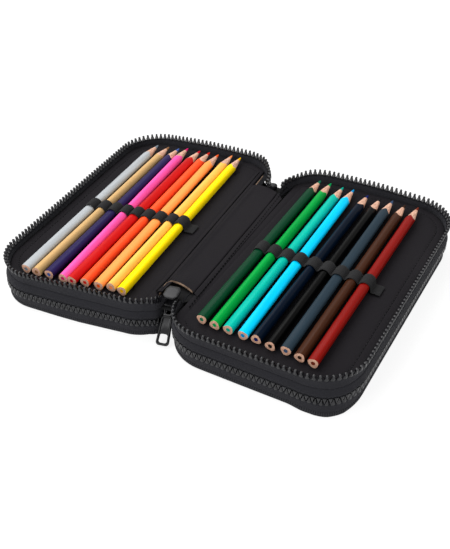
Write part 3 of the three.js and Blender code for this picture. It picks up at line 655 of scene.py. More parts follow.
for name, side in halves.items():
    half, cover = name + '_half', name + '_cover'
    parts = [
        ('band', 'upper_band', 0, pathLength, gussetCloth, half, wallShape['ripple']),
        ('tape', 'middle_zip_tape', rimStart, pathLength - rimStart, tapeCloth, half,
         wallShape['ripple'] / 2),
        # the upper tape lies in the band's shadow and is drawn in near-black painted-shade cloth
        ('upperTape', 'upper_zip_tape', 0, pathLength, paintedShadeCloth, half, 0),
        ('lowerTape', 'lower_zip_tape', 0, pathLength, tapeCloth, cover, 0),
        ('binding', 'edge_binding', 0, pathLength, bindingTape, cover, 0),
        ('backPanel', 'back_panel', backStart, backEnd, gussetCloth, half, wallShape['backRipple']),
        ('lowerBack', 'lower_back_panel', backStart, backEnd, gussetCloth, cover, wallShape['backRipple']),
    ]
    for key, node, start, end, material, body, ripple in parts:
        piece = wallPiece(name + '_' + key, rounded(wallShape[key]), start, end, side, material,
                          ripple=ripple, phase=wallShape['phases'][name])
        if key != 'lowerBack':
            finish(piece, body, name + '_' + node)
            continue
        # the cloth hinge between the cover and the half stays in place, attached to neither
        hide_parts(name + '_' + node)
        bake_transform(piece)
print('walls made')

teethShape = {
    # rings: share of the height, width along the rim, depth across it
    'open': {'squareness': 0.66, 'rings': [
        (0, 2.5, 2.2), (0.12, 2.95, 2.6), (0.3, 2.75, 2.6), (0.5, 1.85, 2.2), (0.68, 1.5, 2.0),
        (0.84, 1.6, 2.05), (0.95, 1.2, 1.6), (1, 0.6, 0.8)]},
    'closed': {'squareness': 0.7, 'rings': [
        (0, 2.5, 2.2), (0.15, 2.75, 2.5), (0.35, 2.4, 2.5), (0.6, 1.6, 2.3), (0.85, 1.05, 2.1),
        (0.96, 0.85, 1.7), (1, 0.4, 0.9)]},
    'sides': 8, 'sharp': 50, 'footHeight': 24.9, 'tipHeight': 28.9, 'rimInset': 1.0,
    'closedFoot': 2.25, 'closedTip': 1.25, 'closedStart': 30, 'cordRadius': 0.5, 'cordSides': 10,
    'slider': {'start': 1.5, 'length': 11.5, 'window': 5.2, 'slack': 0.3},
}
pitch = caseShape['toothPitch']
closedStart = cornerRadius * math.radians(teethShape['closedStart'])
slider = teethShape['slider']
postStart = pathLength - arcLength - slider['start'] - slider['length'] / 2 - slider['window'] / 2
closedCount = int((postStart - slider['slack'] - closedStart) / pitch) - 1


# Rim teeth: the rows of the two halves are a quarter pitch off the middle, one each way.
def rimTeeth(side):
    end = pathLength - rimStart
    count = int((end - rimStart - pitch) / pitch)
    spare = (end - rimStart - count * pitch) / 2
    return rimStart + spare + (np.arange(count) + 0.5) * pitch - side * pitch / 4


for name, side in halves.items():
    row = toothRow(name + '_openTeeth', rimTeeth(side), teethShape['footHeight'], teethShape['tipHeight'],
                   teethShape['rimInset'], teethShape['open'], side)
    finish(row, name + '_half', name + '_middle_zip_teeth')
    level = caseShape['chainHeight']
    # the closed chain: the lower row is half a pitch on and points up between the upper one's teeth
    for away, offset, body, node in ((1, 0.5, '_half', '_upper_zip_teeth'),
                                     (-1, 1, '_cover', '_lower_zip_teeth')):
        foot = level + away * teethShape['closedFoot']
        places = closedStart + (np.arange(closedCount) + offset) * pitch
        row = toothRow(name + node + '_row', places, foot, level - away * teethShape['closedTip'], 0.0,
                       teethShape['closed'], side)
        turn = circle(teethShape['cordSides'])
        profile = np.stack([np.cos(turn), np.sin(turn)], -1) * teethShape['cordRadius'] + [0, foot]
        cord = wallPiece(name + node + '_cord', profile, 0, pathLength, side, tapeCloth)
        finish(joinPieces(name + node + '_closed', [row, cord]), name + body, name + node)
print('teeth made')

panelShape = {
    'edgeInset': 1.7, 'cuts': {'right': 9.3, 'left': 14.6}, 'top': 20.95,
    # inset from the panel's edge, height above the fold; the dip is the sewn groove
    'profile': [(20, -1.2), (8, -1.2), (1.0, -1.2), (0.25, -1.0), (0.0, -0.55), (0.2, -0.12), (0.7, 0.06),
                (1.6, 0.1), (3.0, 0.08), (4.4, -0.02), (4.9, -0.16), (5.2, -0.24), (5.5, -0.16), (6.0, -0.04),
                (7.2, 0.0), (10, 0.0), (14, 0.0), (20, 0.0)],
    'seamInset': 5.2, 'seamDepth': 0.16, 'steps': (14, 30, 18, 60, 18, 30, 14, 70),
    'swell': {'from': 112, 'over': 12, 'even': 0.5, 'wave': 0.35, 'length': 17, 'hump': 1.5, 'humpAt': 30,
              'humpReach': 13, 'under': 0.6},
}
innerShape = {'profile': [(20, -0.5), (0.2, -0.5), (0, -0.25), (0.2, 0), (20, 0)], 'top': 19.5,
              'edgeInset': 1.4, 'cut': 9.6}
coverShape = {'profile': [(20, 1.6), (3, 1.6), (0.3, 1.6), (0.0, 1.2), (0.1, 0.7), (0.6, 0.25), (1.4, 0.02),
                          (3, 0.0), (20, 0.0)], 'edgeInset': 1.6}


# Panel outline: the half's outline cut straight on the spine side. A ring at inset e has corner
# radius R - e, and its corners beside the cut start at the angle whose cosine is
# (centre - cut - e) / (R - e). Legs keep their share of the ring, so rings line up.
def panelRing(extra, side, cut, edge):
    reach = cornerRadius - edge - extra
    lean = math.acos(min(1, (nearSpine - cut - extra) / reach))
    turns = [math.pi + lean, 1.5 * math.pi, 1.5 * math.pi, 2 * math.pi, 2 * math.pi, 2.5 * math.pi,
             2.5 * math.pi, 3 * math.pi - lean]
    legs = np.concatenate([np.linspace(leg, leg + 1, number, endpoint=False)
                           for leg, number in enumerate(panelShape['steps'])])
    angle = np.interp(legs, np.arange(8), turns)
    x = np.interp(legs, np.arange(8), centreX[:8]) + reach * np.cos(angle)
    y = np.interp(legs, np.arange(8), centreY[:8]) + reach * np.sin(angle)
    closing = legs >= 7
    ends = centreY[0] + reach * math.sin(math.pi + lean)
    x[closing] = nearSpine + reach * math.cos(math.pi + lean)
    y[closing] = -ends + (legs[closing] - 7) * 2 * ends
    return side * x, y - rearShift


def panelPiece(name, side, profile, top, cut, edge, material, swell=None):
    rings = []
    for extra, height in profile:
        x, y = panelRing(extra, side, cut, edge)
        z = top + height + (0 if swell is None else swell(x, y, height))
        rings.append(settled(np.stack([x, y, z + 0 * x], -1)))
    return tubeMesh(name, np.array(rings), material)


# The outer edge of the board lifts a little between its corners, and most in one place on the right.
def boardSwell(x, y, height):
    swell = panelShape['swell']
    outer = np.clip((np.abs(x) - swell['from']) / swell['over'], 0, 1)
    hump = swell['hump'] * np.exp(-((y - swell['humpAt']) / swell['humpReach']) ** 2) * (x > 0)
    wave = swell['even'] + swell['wave'] * np.sin(y / swell['length']) + hump
    return outer ** 2 * wave * (1 if height > -1 else swell['under'])


for name, side in halves.items():
    board = panelPiece(name + '_divider', side, panelShape['profile'], panelShape['top'],
                       panelShape['cuts'][name], panelShape['edgeInset'], liningCloth, boardSwell)
    finish(board, name + '_half', name + '_divider_board')
    cover = panelPiece(name + '_cover_cloth', side, coverShape['profile'], 0,
                       spineEdge + coverShape['edgeInset'], coverShape['edgeInset'], coverCloth)
    finish(cover, name + '_cover', name + '_cover_panel')
    # the cloth under the board, which closes the tray
    inner = panelPiece(name + '_inner_cloth', side, innerShape['profile'], innerShape['top'],
                       innerShape['cut'], innerShape['edgeInset'], gussetCloth)
    finish(inner, name + '_half')
print('panels made')

stitchShape = {
    'length': 2.1, 'pitch': 3.0, 'radius': 0.28, 'foldRadius': 0.42,
    'groove': 0.8, 'foldGroove': 1.0, 'grooveDepth': 0.12, 'sunk': 0.1, 'foldSunk': 0.12, 'step': 1.5,
    # where each seam starts and ends, and how far its groove runs past the stitches
    'board': (24, pathLength - 24, 2), 'right': (-72, 88, 1), 'left': (-68, 89, 1),
}


def seamPlaces(key):
    start, end, past = stitchShape[key]
    return (np.arange(start, end, stitchShape['pitch']),
            np.arange(start - past, end + past, stitchShape['step']))


for name, side in halves.items():
    def onPanel(distance, sideways, outwards, side=side):
        x, y = outline(distance, panelShape['edgeInset'] + panelShape['seamInset'] + sideways, side)
        z = panelShape['top'] - panelShape['seamDepth'] + boardSwell(x, y, 0) + outwards
        return settled(np.stack([x, y, z], -1))

    starts, grooved = seamPlaces('board')
    row = stitchRow(name + '_board_stitches', starts, stitchShape['radius'], onPanel, thread)
    groove = grooveLine(name + '_board_groove', grooved, stitchShape['groove'], stitchShape['sunk'], onPanel)
    finish(joinPieces(name + '_board_seam', [row, groove]), name + '_half')
print('stitches made')

# Lines that lean are (x at y = 0, slope).
stripShape = {
    'leftEdge': (-15.9, -0.04), 'hemEdge': (-13.7, -0.045), 'foldLine': (5.9, -0.02), 'thickness': 0.9,
    'height': 21.0, 'rows': 110, 'columns': 44,
    'nearEnd': (-59.9, -0.0243, -3.2), 'farEnd': (68.4, -0.0275, -7.0), 'notch': (-72.4, -10.9, 0.9),
    'lift': ((-16, 0.6), (-11.5, 1.5), (-8.5, 2.7), (-4, 2.2), (1, 1.1), (6, 0.3), (11, 0.1)),
    'liftReach': 10.0, 'ridge': (-12.6, -0.03), 'ridgeHeight': 0.55, 'ridgeWidth': 1.7,
    'farLift': 0.9, 'farReach': 7, 'farFades': ((-16, 6), (9, -4)), 'waviness': 0.07, 'waves': (9, 5),
    'crease': 0.7, 'creaseWidth': 0.45, 'short': 0.15, 'dive': 0.5, 'diveFrom': 1.4, 'diveOver': 1.2,
}
hemShape = {
    'thickness': 0.7, 'columns': {'right': 34, 'left': 14},
    'right': {'under': 2.4, 'edge': 8.8, 'edgeLean': 0.3, 'sunk': 1.0, 'out': 1.35, 'outFrom': -0.1,
              'outOver': 0.9, 'fall': 0.25, 'fallFrom': 8.6, 'fallOver': 2},
    'left': {'past': 0.5, 'raised': 0.32, 'dive': 0.75, 'diveFrom': 0.7, 'diveOver': 1.2},
}


# A line that leans: x = start + slope x y.
def leaning(key, y):
    start, slope = stripShape[key]
    return start + slope * y


# The strip's two ends bow: y = end + bend x (x - middle) squared. Left of the notch the near end
# drops back to the hem's own end.
def nearEnd(x):
    end, bend, middle = stripShape['nearEnd']
    low, edge, width = stripShape['notch']
    bowed = end + bend * (x - middle) ** 2
    return bowed + (low - bowed) * smooth((edge - x) / width)


def farEnd(x):
    end, bend, middle = stripShape['farEnd']
    return end + bend * (x - middle) ** 2


# Height of the lining over the spine: the near end lifts over the slider by lift(x) x
# exp(-(way from the end / reach) squared), the cloth rolls over a soft ridge on the left, and the
# far end lifts a little over the stop.
def liningHeight(x, y):
    places, lifts = np.array(stripShape['lift']).T
    way = np.clip(y - nearEnd(x), 0, None) / stripShape['liftReach']
    raised = np.interp(x, places, lifts) * np.exp(-way ** 2)
    ridge = stripShape['ridgeHeight'] * np.exp(-((x - leaning('ridge', y)) / stripShape['ridgeWidth']) ** 2)
    far = stripShape['farLift'] * np.exp(-((y - farEnd(x)) / stripShape['farReach']) ** 2)
    for start, over in stripShape['farFades']:
        far = far * smooth((x - start) / over)
    alongWave, acrossWave = stripShape['waves']
    wavy = stripShape['waviness'] * np.sin(y / alongWave + x / acrossWave)
    return stripShape['height'] + raised + ridge + far + wavy


# Grid between two edges and the bowed ends: x = left + share x (right - left), and y runs from the
# near end to the far end at that x.
def spanGrid(left, right, columns):
    share, up = np.meshgrid(np.linspace(0, 1, columns), np.linspace(0, 1, stripShape['rows']))
    guess = left(0) + share * (right(0) - left(0))
    y = nearEnd(guess) + up * (farEnd(guess) - nearEnd(guess))
    return left(y) + share * (right(y) - left(y)), y


# Spine strip: it ends at the fold line on the right, where its edge turns down into the crease.
def stripPiece():
    shape = stripShape
    x, y = spanGrid(lambda y: leaning('leftEdge', y), lambda y: leaning('foldLine', y) - shape['short'],
                    shape['columns'])
    crease = shape['crease'] * np.exp(-((x - leaning('foldLine', y)) / shape['creaseWidth']) ** 2)
    dive = shape['dive'] * smooth((leaning('leftEdge', y) + shape['diveFrom'] - x) / shape['diveOver'])
    return slabMesh('spine_lining', x, y, liningHeight(x, y) - crease - dive, shape['thickness'], liningCloth)


# Hems: the boards' own lining, sewn down over the folds. The right one comes out from under the
# strip at the fold line; the left one is a narrow flap over the strip's edge.
def hemPiece(name):
    shape = hemShape[name]
    columns = hemShape['columns'][name]
    if name == 'right':
        x, y = spanGrid(lambda y: leaning('foldLine', y) - shape['under'],
                        lambda y: leaning('foldLine', y) * shape['edgeLean'] + shape['edge'], columns)
        out = smooth((x - leaning('foldLine', y) - shape['outFrom']) / shape['outOver'])
        fall = smooth((x - shape['fallFrom']) / shape['fallOver'])
        raised = shape['out'] * out - shape['fall'] * fall - shape['sunk']
    else:
        x, y = spanGrid(lambda y: leaning('leftEdge', y) - shape['past'], lambda y: leaning('hemEdge', y),
                        columns)
        dive = smooth((leaning('leftEdge', y) + shape['diveFrom'] - x) / shape['diveOver'])
        raised = shape['raised'] - shape['dive'] * dive
    return slabMesh(name + '_hem', x, y, liningHeight(x, y) + raised, hemShape['thickness'], liningCloth)


# Seams beside the folds: where their lines lie, and how high on the lining.
foldSeams = {'right': {'line': (9.4, -0.032), 'lift': 0.62}, 'left': {'line': (-16.9, -0.042), 'lift': 0.14}}


def seamOn(name):
    def onLining(distance, sideways, outwards):
        start, slope = foldSeams[name]['line']
        y = distance - rearShift
        x = start + slope * y + sideways
        return np.stack([x, y, liningHeight(x, y) + foldSeams[name]['lift'] + outwards], -1)
    return onLining


edgeShape = {
    'near': {'leg': [(-10.6, -73.6, 21.6), (-11.1, -69.5, 22.1), (-11.6, -66.0, 22.6), (-11.5, -63.0, 23.0)],
             'arch': (-10.6, 6.4), 'points': 18, 'raised': 0.1, 'width': 1.25, 'height': 1.3},
    'far': {'line': [(-14.5, 67.0, 21.4), (-15.0, 75.0, 21.4), (-15.7, 83.0, 21.3)],
            'width': 0.8, 'height': 0.8},
    'steps': 48, 'ragged': 0.18, 'rags': (2.3, 5.1), 'taper': 1.2, 'thin': 0.25,
}


# Raw edge: a flat cord of torn cloth fibres, of a width and a height, through listed points.
# Its width varies by 1 + ragged x sine x sine, and tapers at the ends.
def rawEdgePiece(name, points, width, height):
    points = np.array(points, float)
    share = np.concatenate([[0], np.cumsum(np.hypot(*np.diff(points[:, :2], axis=0).T))])
    even = np.linspace(0, share[-1], edgeShape['steps'])
    path = np.stack([np.interp(even, share, column) for column in points.T], -1)
    step = stepsAlong(path[:, :2])
    turn = circle(10)
    slow, fast = edgeShape['rags']
    ragged = 1 + edgeShape['ragged'] * np.sin(even * slow) * np.sin(even * fast + 1)
    taper = np.clip(np.minimum(even, share[-1] - even) / edgeShape['taper'], edgeShape['thin'], 1)
    reach = (width / 2 * ragged * taper)[:, None] * np.cos(turn)
    x = path[:, :1] - step[:, 1:] * reach
    y = path[:, 1:2] + step[:, :1] * reach
    return tubeMesh(name, np.stack([x, y, path[:, 2:] + height / 2 * np.sin(turn)], -1), rawEdge)


def blended(piece):
    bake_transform(piece)


strip = stripPiece()
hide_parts('spine_strip')
blended(strip)
for name in halves:
    blended(hemPiece(name))
    starts, grooved = seamPlaces(name)
    # the fold seams' stitches are coloured with the grooves' painted shade
    seam = stitchRow(name + '_fold_stitches', starts, stitchShape['foldRadius'], seamOn(name), grooveShade)
    if name == 'left':
        groove = grooveLine('groove', grooved, stitchShape['foldGroove'], stitchShape['foldSunk'],
                            seamOn(name))
        seam = joinPieces('left_fold_seam', [seam, groove])
    blended(seam)

shape = edgeShape['near']
archX = np.linspace(*shape['arch'], shape['points'])[1:]
arch = np.stack([archX, nearEnd(archX), liningHeight(archX, nearEnd(archX)) + shape['raised']], -1)
nearEdge = rawEdgePiece('near_raw_edge', shape['leg'] + arch.tolist(), shape['width'], shape['height'])
blended(nearEdge)
shape = edgeShape['far']
finish(rawEdgePiece('far_raw_edge', shape['line'], shape['width'], shape['height']), 'left_half')
print('spine lining made')

# The two ends of the spine, where the rim's tapes and teeth come down to the slider and the stop.
endShape = {
    'web': [(0.3, 0), (0.2, 0.5), (0.55, 0.97), (0.9, 1.02), (1.15, 0.97), (1.1, 0.5), (1.1, 0)],
    'webFrom': 2, 'webTo': 33, 'webFoot': 19.5, 'rimTop': 25.5, 'tall': 4.0,
    'near': {'low': 22.4, 'reach': 15, 'count': 3, 'floor': (-79, -56)},
    'far': {'low': 24.4, 'reach': 9, 'count': 5, 'floor': (60, 77)},
    'floor': {'height': 19.8, 'sag': 0.5, 'past': 0.6, 'wide': 10.2, 'narrower': 5.6, 'over': 8,
              'thickness': 0.7},
}


# Rim height beside the spine: low + (top - low) x smooth(way from the spine / reach).
def rimHeight(end, distance):
    shape = endShape[end]
    way = distance if end == 'near' else pathLength - distance
    return shape['low'] + (endShape['rimTop'] - shape['low']) * smooth(way / shape['reach'])


# A short web of tape that follows the rim height, and a few teeth on it, spaced as the rim's are.
def endPiece(end, name):
    side = halves[name]
    start, stop = (math.radians(endShape[key]) * cornerRadius for key in ('webFrom', 'webTo'))
    steps = (1 + np.arange(endShape[end]['count'])) * pitch
    centres = rimTeeth(side)[0] - steps
    if end == 'far':
        start, stop = pathLength - stop, pathLength - start
        centres = rimTeeth(side)[-1] + steps
    foot = endShape['webFoot']
    web = wallPiece('web', rounded(endShape['web'], 1), start, stop, side, tapeCloth, 1.0,
                    lift=lambda distance, share: foot + share * (rimHeight(end, distance) - foot))
    tips = rimHeight(end, centres) + teethShape['tipHeight'] - endShape['rimTop']
    teeth = toothRow('teeth', centres, tips - endShape['tall'], tips, teethShape['rimInset'],
                     teethShape['open'], side)
    return joinPieces(end + '_' + name + '_spine_zip', [web, teeth])


# Cloth under the slider and the stop, near-black for painted shade: between the two corner
# arcs, at the fold's height, with z = height - sag x share squared.
def endFloor(end):
    shape = endShape['floor']
    start, stop = endShape[end]['floor']
    share, up = np.meshgrid(np.linspace(-1, 1, 17), np.linspace(0, 1, 14))
    y = start + up * (stop - start)
    past = np.clip(np.abs(y) - straightHalf, 0, None)
    between = nearSpine - np.sqrt(cornerRadius ** 2 - past ** 2) + shape['past']
    beside = shape['wide'] - shape['narrower'] * smooth((np.abs(y) - straightHalf) / shape['over'] + 1)
    x = share * np.where(past > 0, between, beside)
    z = shape['height'] - shape['sag'] * share ** 2
    return slabMesh(end + '_end_cloth', x, y - rearShift, z, shape['thickness'], paintedShadeCloth)


for name in ('right', 'left'):
    for end in ('near', 'far'):
        piece = endPiece(end, name)
        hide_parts(end + '_' + name + '_spine_teeth')
        blended(piece)
for end in ('near', 'far'):
    finish(endFloor(end), 'spine', end + '_tape_end')

stopShape = {
    'centre': (-0.8, 72.2, 23.2), 'size': (5.2, 4.2, 4.4), 'roundness': 1.9,
    # inset, scale, share of the height from the middle
    'levels': [(0.35, 1, -0.5), (0, 1, -0.38), (0, 1, 0.2), (0.25, 1, 0.4), (0.7, 1, 0.49), (1.0, 0.8, 0.5)],
}
wide, deep, tall = stopShape['size']
x, y, z = stopShape['centre']
corners = boxCorners(wide, -deep / 2, deep / 2, stopShape['roundness'])
centred = Matrix.Translation((x, y - rearShift, z)) @ Matrix.Diagonal((1, 1, tall, 1))
levels = [(corners, inset, scale, share) for inset, scale, share in stopShape['levels']]
finish(tubeMesh('bottom_stop', stackPoints(levels, centred), enamel), 'spine', 'middle_bottom_stop')
print('spine ends made')

# Sliders and pull tabs. A slider lies along its X, its inner plate above and its bail below.
sliderShape = {
    'length': 11.5, 'width': 8.4, 'thickness': 1.2, 'corner': 1.1,
    # shares of the length and the width; inset, scale and share of the thickness
    'plate': [(0, 0.34), (0.3, 0.5), (0.78, 0.5), (1, 0.3)],
    'plateLevels': [(0.5, 1, 0), (0.1, 1, 0.06), (0, 1, 0.25), (0, 1, 0.75), (0.12, 1, 0.98), (0.45, 1, 1.12),
                    (0.7, 0.8, 1.2), (0.7, 0.55, 1.24)],
    'lip': {'length': 0.46, 'at': 0.54, 'insets': (0.95, 0.1), 'corner': 0.3,
            'levels': [(0, -0.3), (0, 0.5), (0.15, 0.66)]},
    'post': {'at': 0.42, 'reach': (1.5, 1.1), 'corner': 0.35, 'sunk': 0.2},
    'bailHalf': 4.65, 'bailWidth': 2.2, 'bailTall': 1.05, 'bailDrop': 3.95, 'bailEnd': 0.04,
    'bailSquareness': 0.42, 'bar': 8.6, 'barDrop': 1.6, 'barSquareness': 0.55,
}
# ring, inset, height: from the hole over the sunken field to the raised edge; the back mirrors them
tabShape = {
    'width': 8.6, 'topWidth': 7.0, 'top': -6.1, 'length': 24.6, 'corner': 2.2, 'hole': (5.6, 5.4, 1.7),
    'holeCorner': 1.6, 'neck': (5.8, -7.4, 0.9, 0.9), 'eye': (3.0, -4.95, -0.75, 0.7),
    'profile': [('hole', 0.0, 0.45), ('hole', -0.2, 0.72), ('hole', -0.55, 0.78), ('hole', -0.85, 0.62),
                ('edge', 1.45, 0.56), ('edge', 1.25, 0.7), ('edge', 1.1, 1.0), ('edge', 0.8, 1.14),
                ('edge', 0.4, 1.08), ('edge', 0.1, 0.8), ('edge', 0.0, 0.4)],
    'neckProfile': [('hole', 0.0, 0.3), ('hole', -0.25, 0.62), ('edge', 0.35, 0.72), ('edge', 0.1, 0.55),
                    ('edge', 0.0, 0.25)],
}


# Tab: a plate round the hole and a loop round the eye, each a closed section of (ring, inset,
# height) whose rings run from the hole's outline to the edge's.
def tabPiece(name, hang):
    shape = tabShape
    wide, tall, up = shape['hole']
    bottom = -shape['length']
    outlines = {'edge': boxCorners(shape['width'], bottom, shape['top'], shape['corner'], shape['topWidth']),
                'hole': boxCorners(wide, bottom + up, bottom + up + tall, shape['holeCorner'])}
    loops = {'edge': boxCorners(*shape['neck']), 'hole': boxCorners(*shape['eye'])}
    upright = hang @ basis((1, 0, 0), (0, 0, 1), (0, -1, 0), (0, 0, 0))
    pieces = []
    for part, rings, profile, arc in (('plate', outlines, 'profile', 8), ('loop', loops, 'neckProfile', 6)):
        front = [(rings[ring], inset, 1, height) for ring, inset, height in shape[profile]]
        behind = [(ring, inset, scale, -height) for ring, inset, scale, height in front[::-1]]
        points = stackPoints(front + behind, upright, arc=arc)
        pieces.append(tubeMesh(part, points, enamel, ring=True, sharp=45))
    return joinPieces(name, pieces)


# Bail: a rounded bar carried along an arch, x = half x power-cosine, z = drop x sqrt(sine).
def bailPoints(top):
    shape = sliderShape
    turn = np.linspace(shape['bailEnd'], math.pi - shape['bailEnd'], 26)
    x = shape['length'] / 2 + shape['bailHalf'] * power(np.cos(turn), shape['bailSquareness'])
    z = top - shape['bailDrop'] * np.sqrt(np.sin(turn))
    step = stepsAlong(np.stack([x, z], -1))
    across, thick = (size / 2 * power(wave(circle(16)), shape['barSquareness'])
                     for size, wave in ((shape['bailWidth'], np.cos), (shape['bailTall'], np.sin)))
    return np.stack([x[:, None] - step[:, 1:] * thick, across + 0 * x[:, None],
                     z[:, None] + step[:, :1] * thick], -1)


# The plates lie a gap apart; the inner one has a width of its own and may stand a little aside.
def sliderPiece(name, lying, gap, innerWidth, shift=(0, 0)):
    shape = sliderShape
    aside = lying @ Matrix.Translation((-shift[0], 0, shift[1]))
    pieces = []
    for up, width, moved in ((1, innerWidth, aside), (-1, shape['width'], lying)):
        points = [(x * shape['length'], y * width) for x, y in shape['plate']]
        plate = roundCorners([(x, -y) for x, y in points] + points[::-1], shape['corner'])
        levels = [(plate, inset, scale, up * (gap / 2 + share * shape['thickness']))
                  for inset, scale, share in shape['plateLevels']]
        pieces.append(tubeMesh('plate', stackPoints(levels, moved, arc=4, side=2), enamel, sharp=45))
        lip = shape['lip']
        low, high = (width / 2 - inset for inset in lip['insets'])
        corners = boxCorners(shape['length'] * lip['length'], low, high, lip['corner'])
        levels = [(corners, inset, 1, up * (gap / 2 - height)) for inset, height in lip['levels']]
        for flank in (-1, 1):
            rail = stackPoints(levels, Matrix.Identity(4), arc=3, side=1)
            rail[..., 0] += shape['length'] * lip['at']
            rail[..., 1] *= flank
            pieces.append(tubeMesh('lip', inFrame(rail, moved), enamel))
    post = shape['post']
    long, deep = post['reach']
    spindle = roundCorners([(-long, 0), (0, -deep), (long, 0), (0, deep)], post['corner'])
    levels = [(spindle, 0, 1, -gap / 2 - post['sunk']), (spindle, 0, 1, gap / 2 + post['sunk'] + shift[1])]
    middle = lying @ Matrix.Translation((shape['length'] * post['at'], 0, 0))
    pieces.append(tubeMesh('post', stackPoints(levels, middle, arc=4, side=1), enamel))
    bail = bailPoints(-gap / 2 - shape['thickness'] / 2)
    pieces.append(tubeMesh('bail', inFrame(bail, lying), enamel, sharp=60))
    return joinPieces(name, pieces)


middlePlace = {'turn': 11, 'centre': (-1.6, -71.5), 'bottom': 20.6, 'gap': 2, 'tabRest': 1.3,
               'plateWidth': 9.6, 'plateShift': (1.8, 1.3), 'tabAside': -0.2}
x, y = middlePlace['centre']
turned = Matrix.Translation((x, y - rearShift, 0)) @ turnedAbout('Z', middlePlace['turn'])
ahead = sliderShape['length'] / 2
level = middlePlace['bottom'] + sliderShape['thickness'] + middlePlace['gap'] / 2
lying = turned @ basis((0, -1, 0), (1, 0, 0), (0, 0, 1), (0, ahead, level))
middle = sliderPiece('middle_zip_slider', lying, middlePlace['gap'], middlePlace['plateWidth'],
                     middlePlace['plateShift'])
finish(middle, 'spine', 'middle_slider')
# the tab leans until its end rests on the table
barHeight = middlePlace['bottom'] - sliderShape['barDrop']
drop = math.degrees(math.asin((barHeight - middlePlace['tabRest']) / tabShape['length']))
barPlace = Matrix.Translation((middlePlace['tabAside'], ahead - sliderShape['bar'], barHeight))
hang = turned @ barPlace @ turnedAbout('X', drop - 90)
finish(tabPiece('middle_zip_pull', hang), 'middle_pull', 'middle_pull_tab')

outerPlace = {'gap': 3, 'innerWidth': 5.4}
for name, side in halves.items():
    start = side * (spineEdge + cornerRadius + slider['start'])
    depth = caseShape['halfDepth'] / 2 - rearShift
    level = caseShape['chainHeight']
    lying = basis((side, 0, 0), (0, 0, side), (0, -1, 0), (start, depth, level))
    piece = sliderPiece(name + '_zip_slider', lying, outerPlace['gap'], outerPlace['innerWidth'])
    finish(piece, name + '_half', name + '_slider')
    barDepth = depth + outerPlace['gap'] / 2 + sliderShape['thickness'] + sliderShape['barDrop']
    hang = basis((0, 0, 1), (0, side, 0), (-side, 0, 0), (start + side * sliderShape['bar'], barDepth, level))
    finish(tabPiece(name + '_zip_pull', hang), name + '_pull', name + '_pull_tab')
print('sliders and pull tabs made')

pencilShape = {'radius': 3.25, 'lobe': 0.24, 'sides': 48, 'axis': 24.65, 'middle': 87.5, 'cone': 17,
               'tip': 0.35, 'lead': 1.25, 'bare': 0.9, 'round': 0.25, 'coreRoughness': 0.55}
halfCentre = spineEdge + caseShape['halfWidth'] / 2
trays = {
    # pencils: colour, lacquer, core, turn of the barrel, yaw, aside, start, and the length to which
    # it has been used up
    'left': {'middle': (-4.1, 1.9), 'pitch': 8.4, 'turn': 2.9, 'slope': 0.08, 'pencils': [
        ('silver', (166, 170, 173), (120, 130, 140), 20, 0, 0, 0, 175),
        ('tan', (202, 164, 110), (150, 105, 70), 75, 0.4, 0.1, -0.7, 176),
        ('indigo', (36, 28, 72), (70, 95, 160), 40, 0.2, 0.3, -0.4, 176),
        ('pink', (255, 90, 170), (215, 30, 110), 95, -1.1, 0.2, -0.9, 179),
        ('red', (188, 20, 18), (195, 20, 40), 10, 0.2, 0.2, -1.4, 179),
        ('vermilion', (252, 84, 40), (215, 40, 25), 60, 0, 0, -0.2, 178),
        ('orange', (255, 154, 78), (240, 90, 30), 30, -0.6, 0.2, -0.3, 177),
        ('apricot', (255, 192, 90), (240, 140, 80), 85, 0.2, 0.8, 0.9, 178),
        ('yellow', (255, 220, 4), (240, 180, 0), 50, 0, 0.1, -0.2, 178)]},
    'right': {'middle': (-1.7, 2.9), 'pitch': 9.2, 'turn': -0.7, 'slope': -0.026, 'pencils': [
        ('bottle', (0, 54, 30), (20, 110, 80), 35, -0.1, 0, 0.9, 175),
        ('green', (0, 150, 60), (0, 150, 80), 80, -0.4, -0.5, 0.2, 176),
        ('teal', (0, 176, 156), (0, 160, 140), 55, -0.1, -0.3, 0.5, 175),
        ('cyan', (0, 194, 240), (0, 140, 200), 15, -0.7, -0.6, 0.3, 176),
        ('navy', (2, 14, 30), (20, 30, 90), 90, 0.5, 0.2, 1.1, 173),
        ('black', (2, 2, 2), (20, 20, 20), 70, 0.4, 0.5, 0, 174),
        ('slate', (36, 50, 60), (60, 80, 110), 25, 0.1, 0.3, 0.8, 175),
        ('umber', (60, 32, 18), (50, 30, 20), 65, 0.2, 0.4, -0.3, 175),
        ('russet', (124, 16, 10), (110, 40, 25), 45, 0.4, 0, -0.8, 177)]},
}


# Across the row: x = place in the row x pitch + aside + along x tan(yaw).
def placeAcross(name, index, along):
    tray = trays[name]
    yaw, aside = tray['pencils'][index][4:6]
    return (index - 4) * tray['pitch'] + aside + along * math.tan(math.radians(yaw))


# A row of pencils has a frame of its own, X across the pencils and Y along them: its points are
# turned about the row's middle and moved there.
def onTray(name, points):
    tray = trays[name]
    x, y = tray['middle']
    middle = Matrix.Translation((halves[name] * halfCentre + x, y - rearShift, 0))
    return inFrame(points, middle @ turnedAbout('Z', tray['turn']))


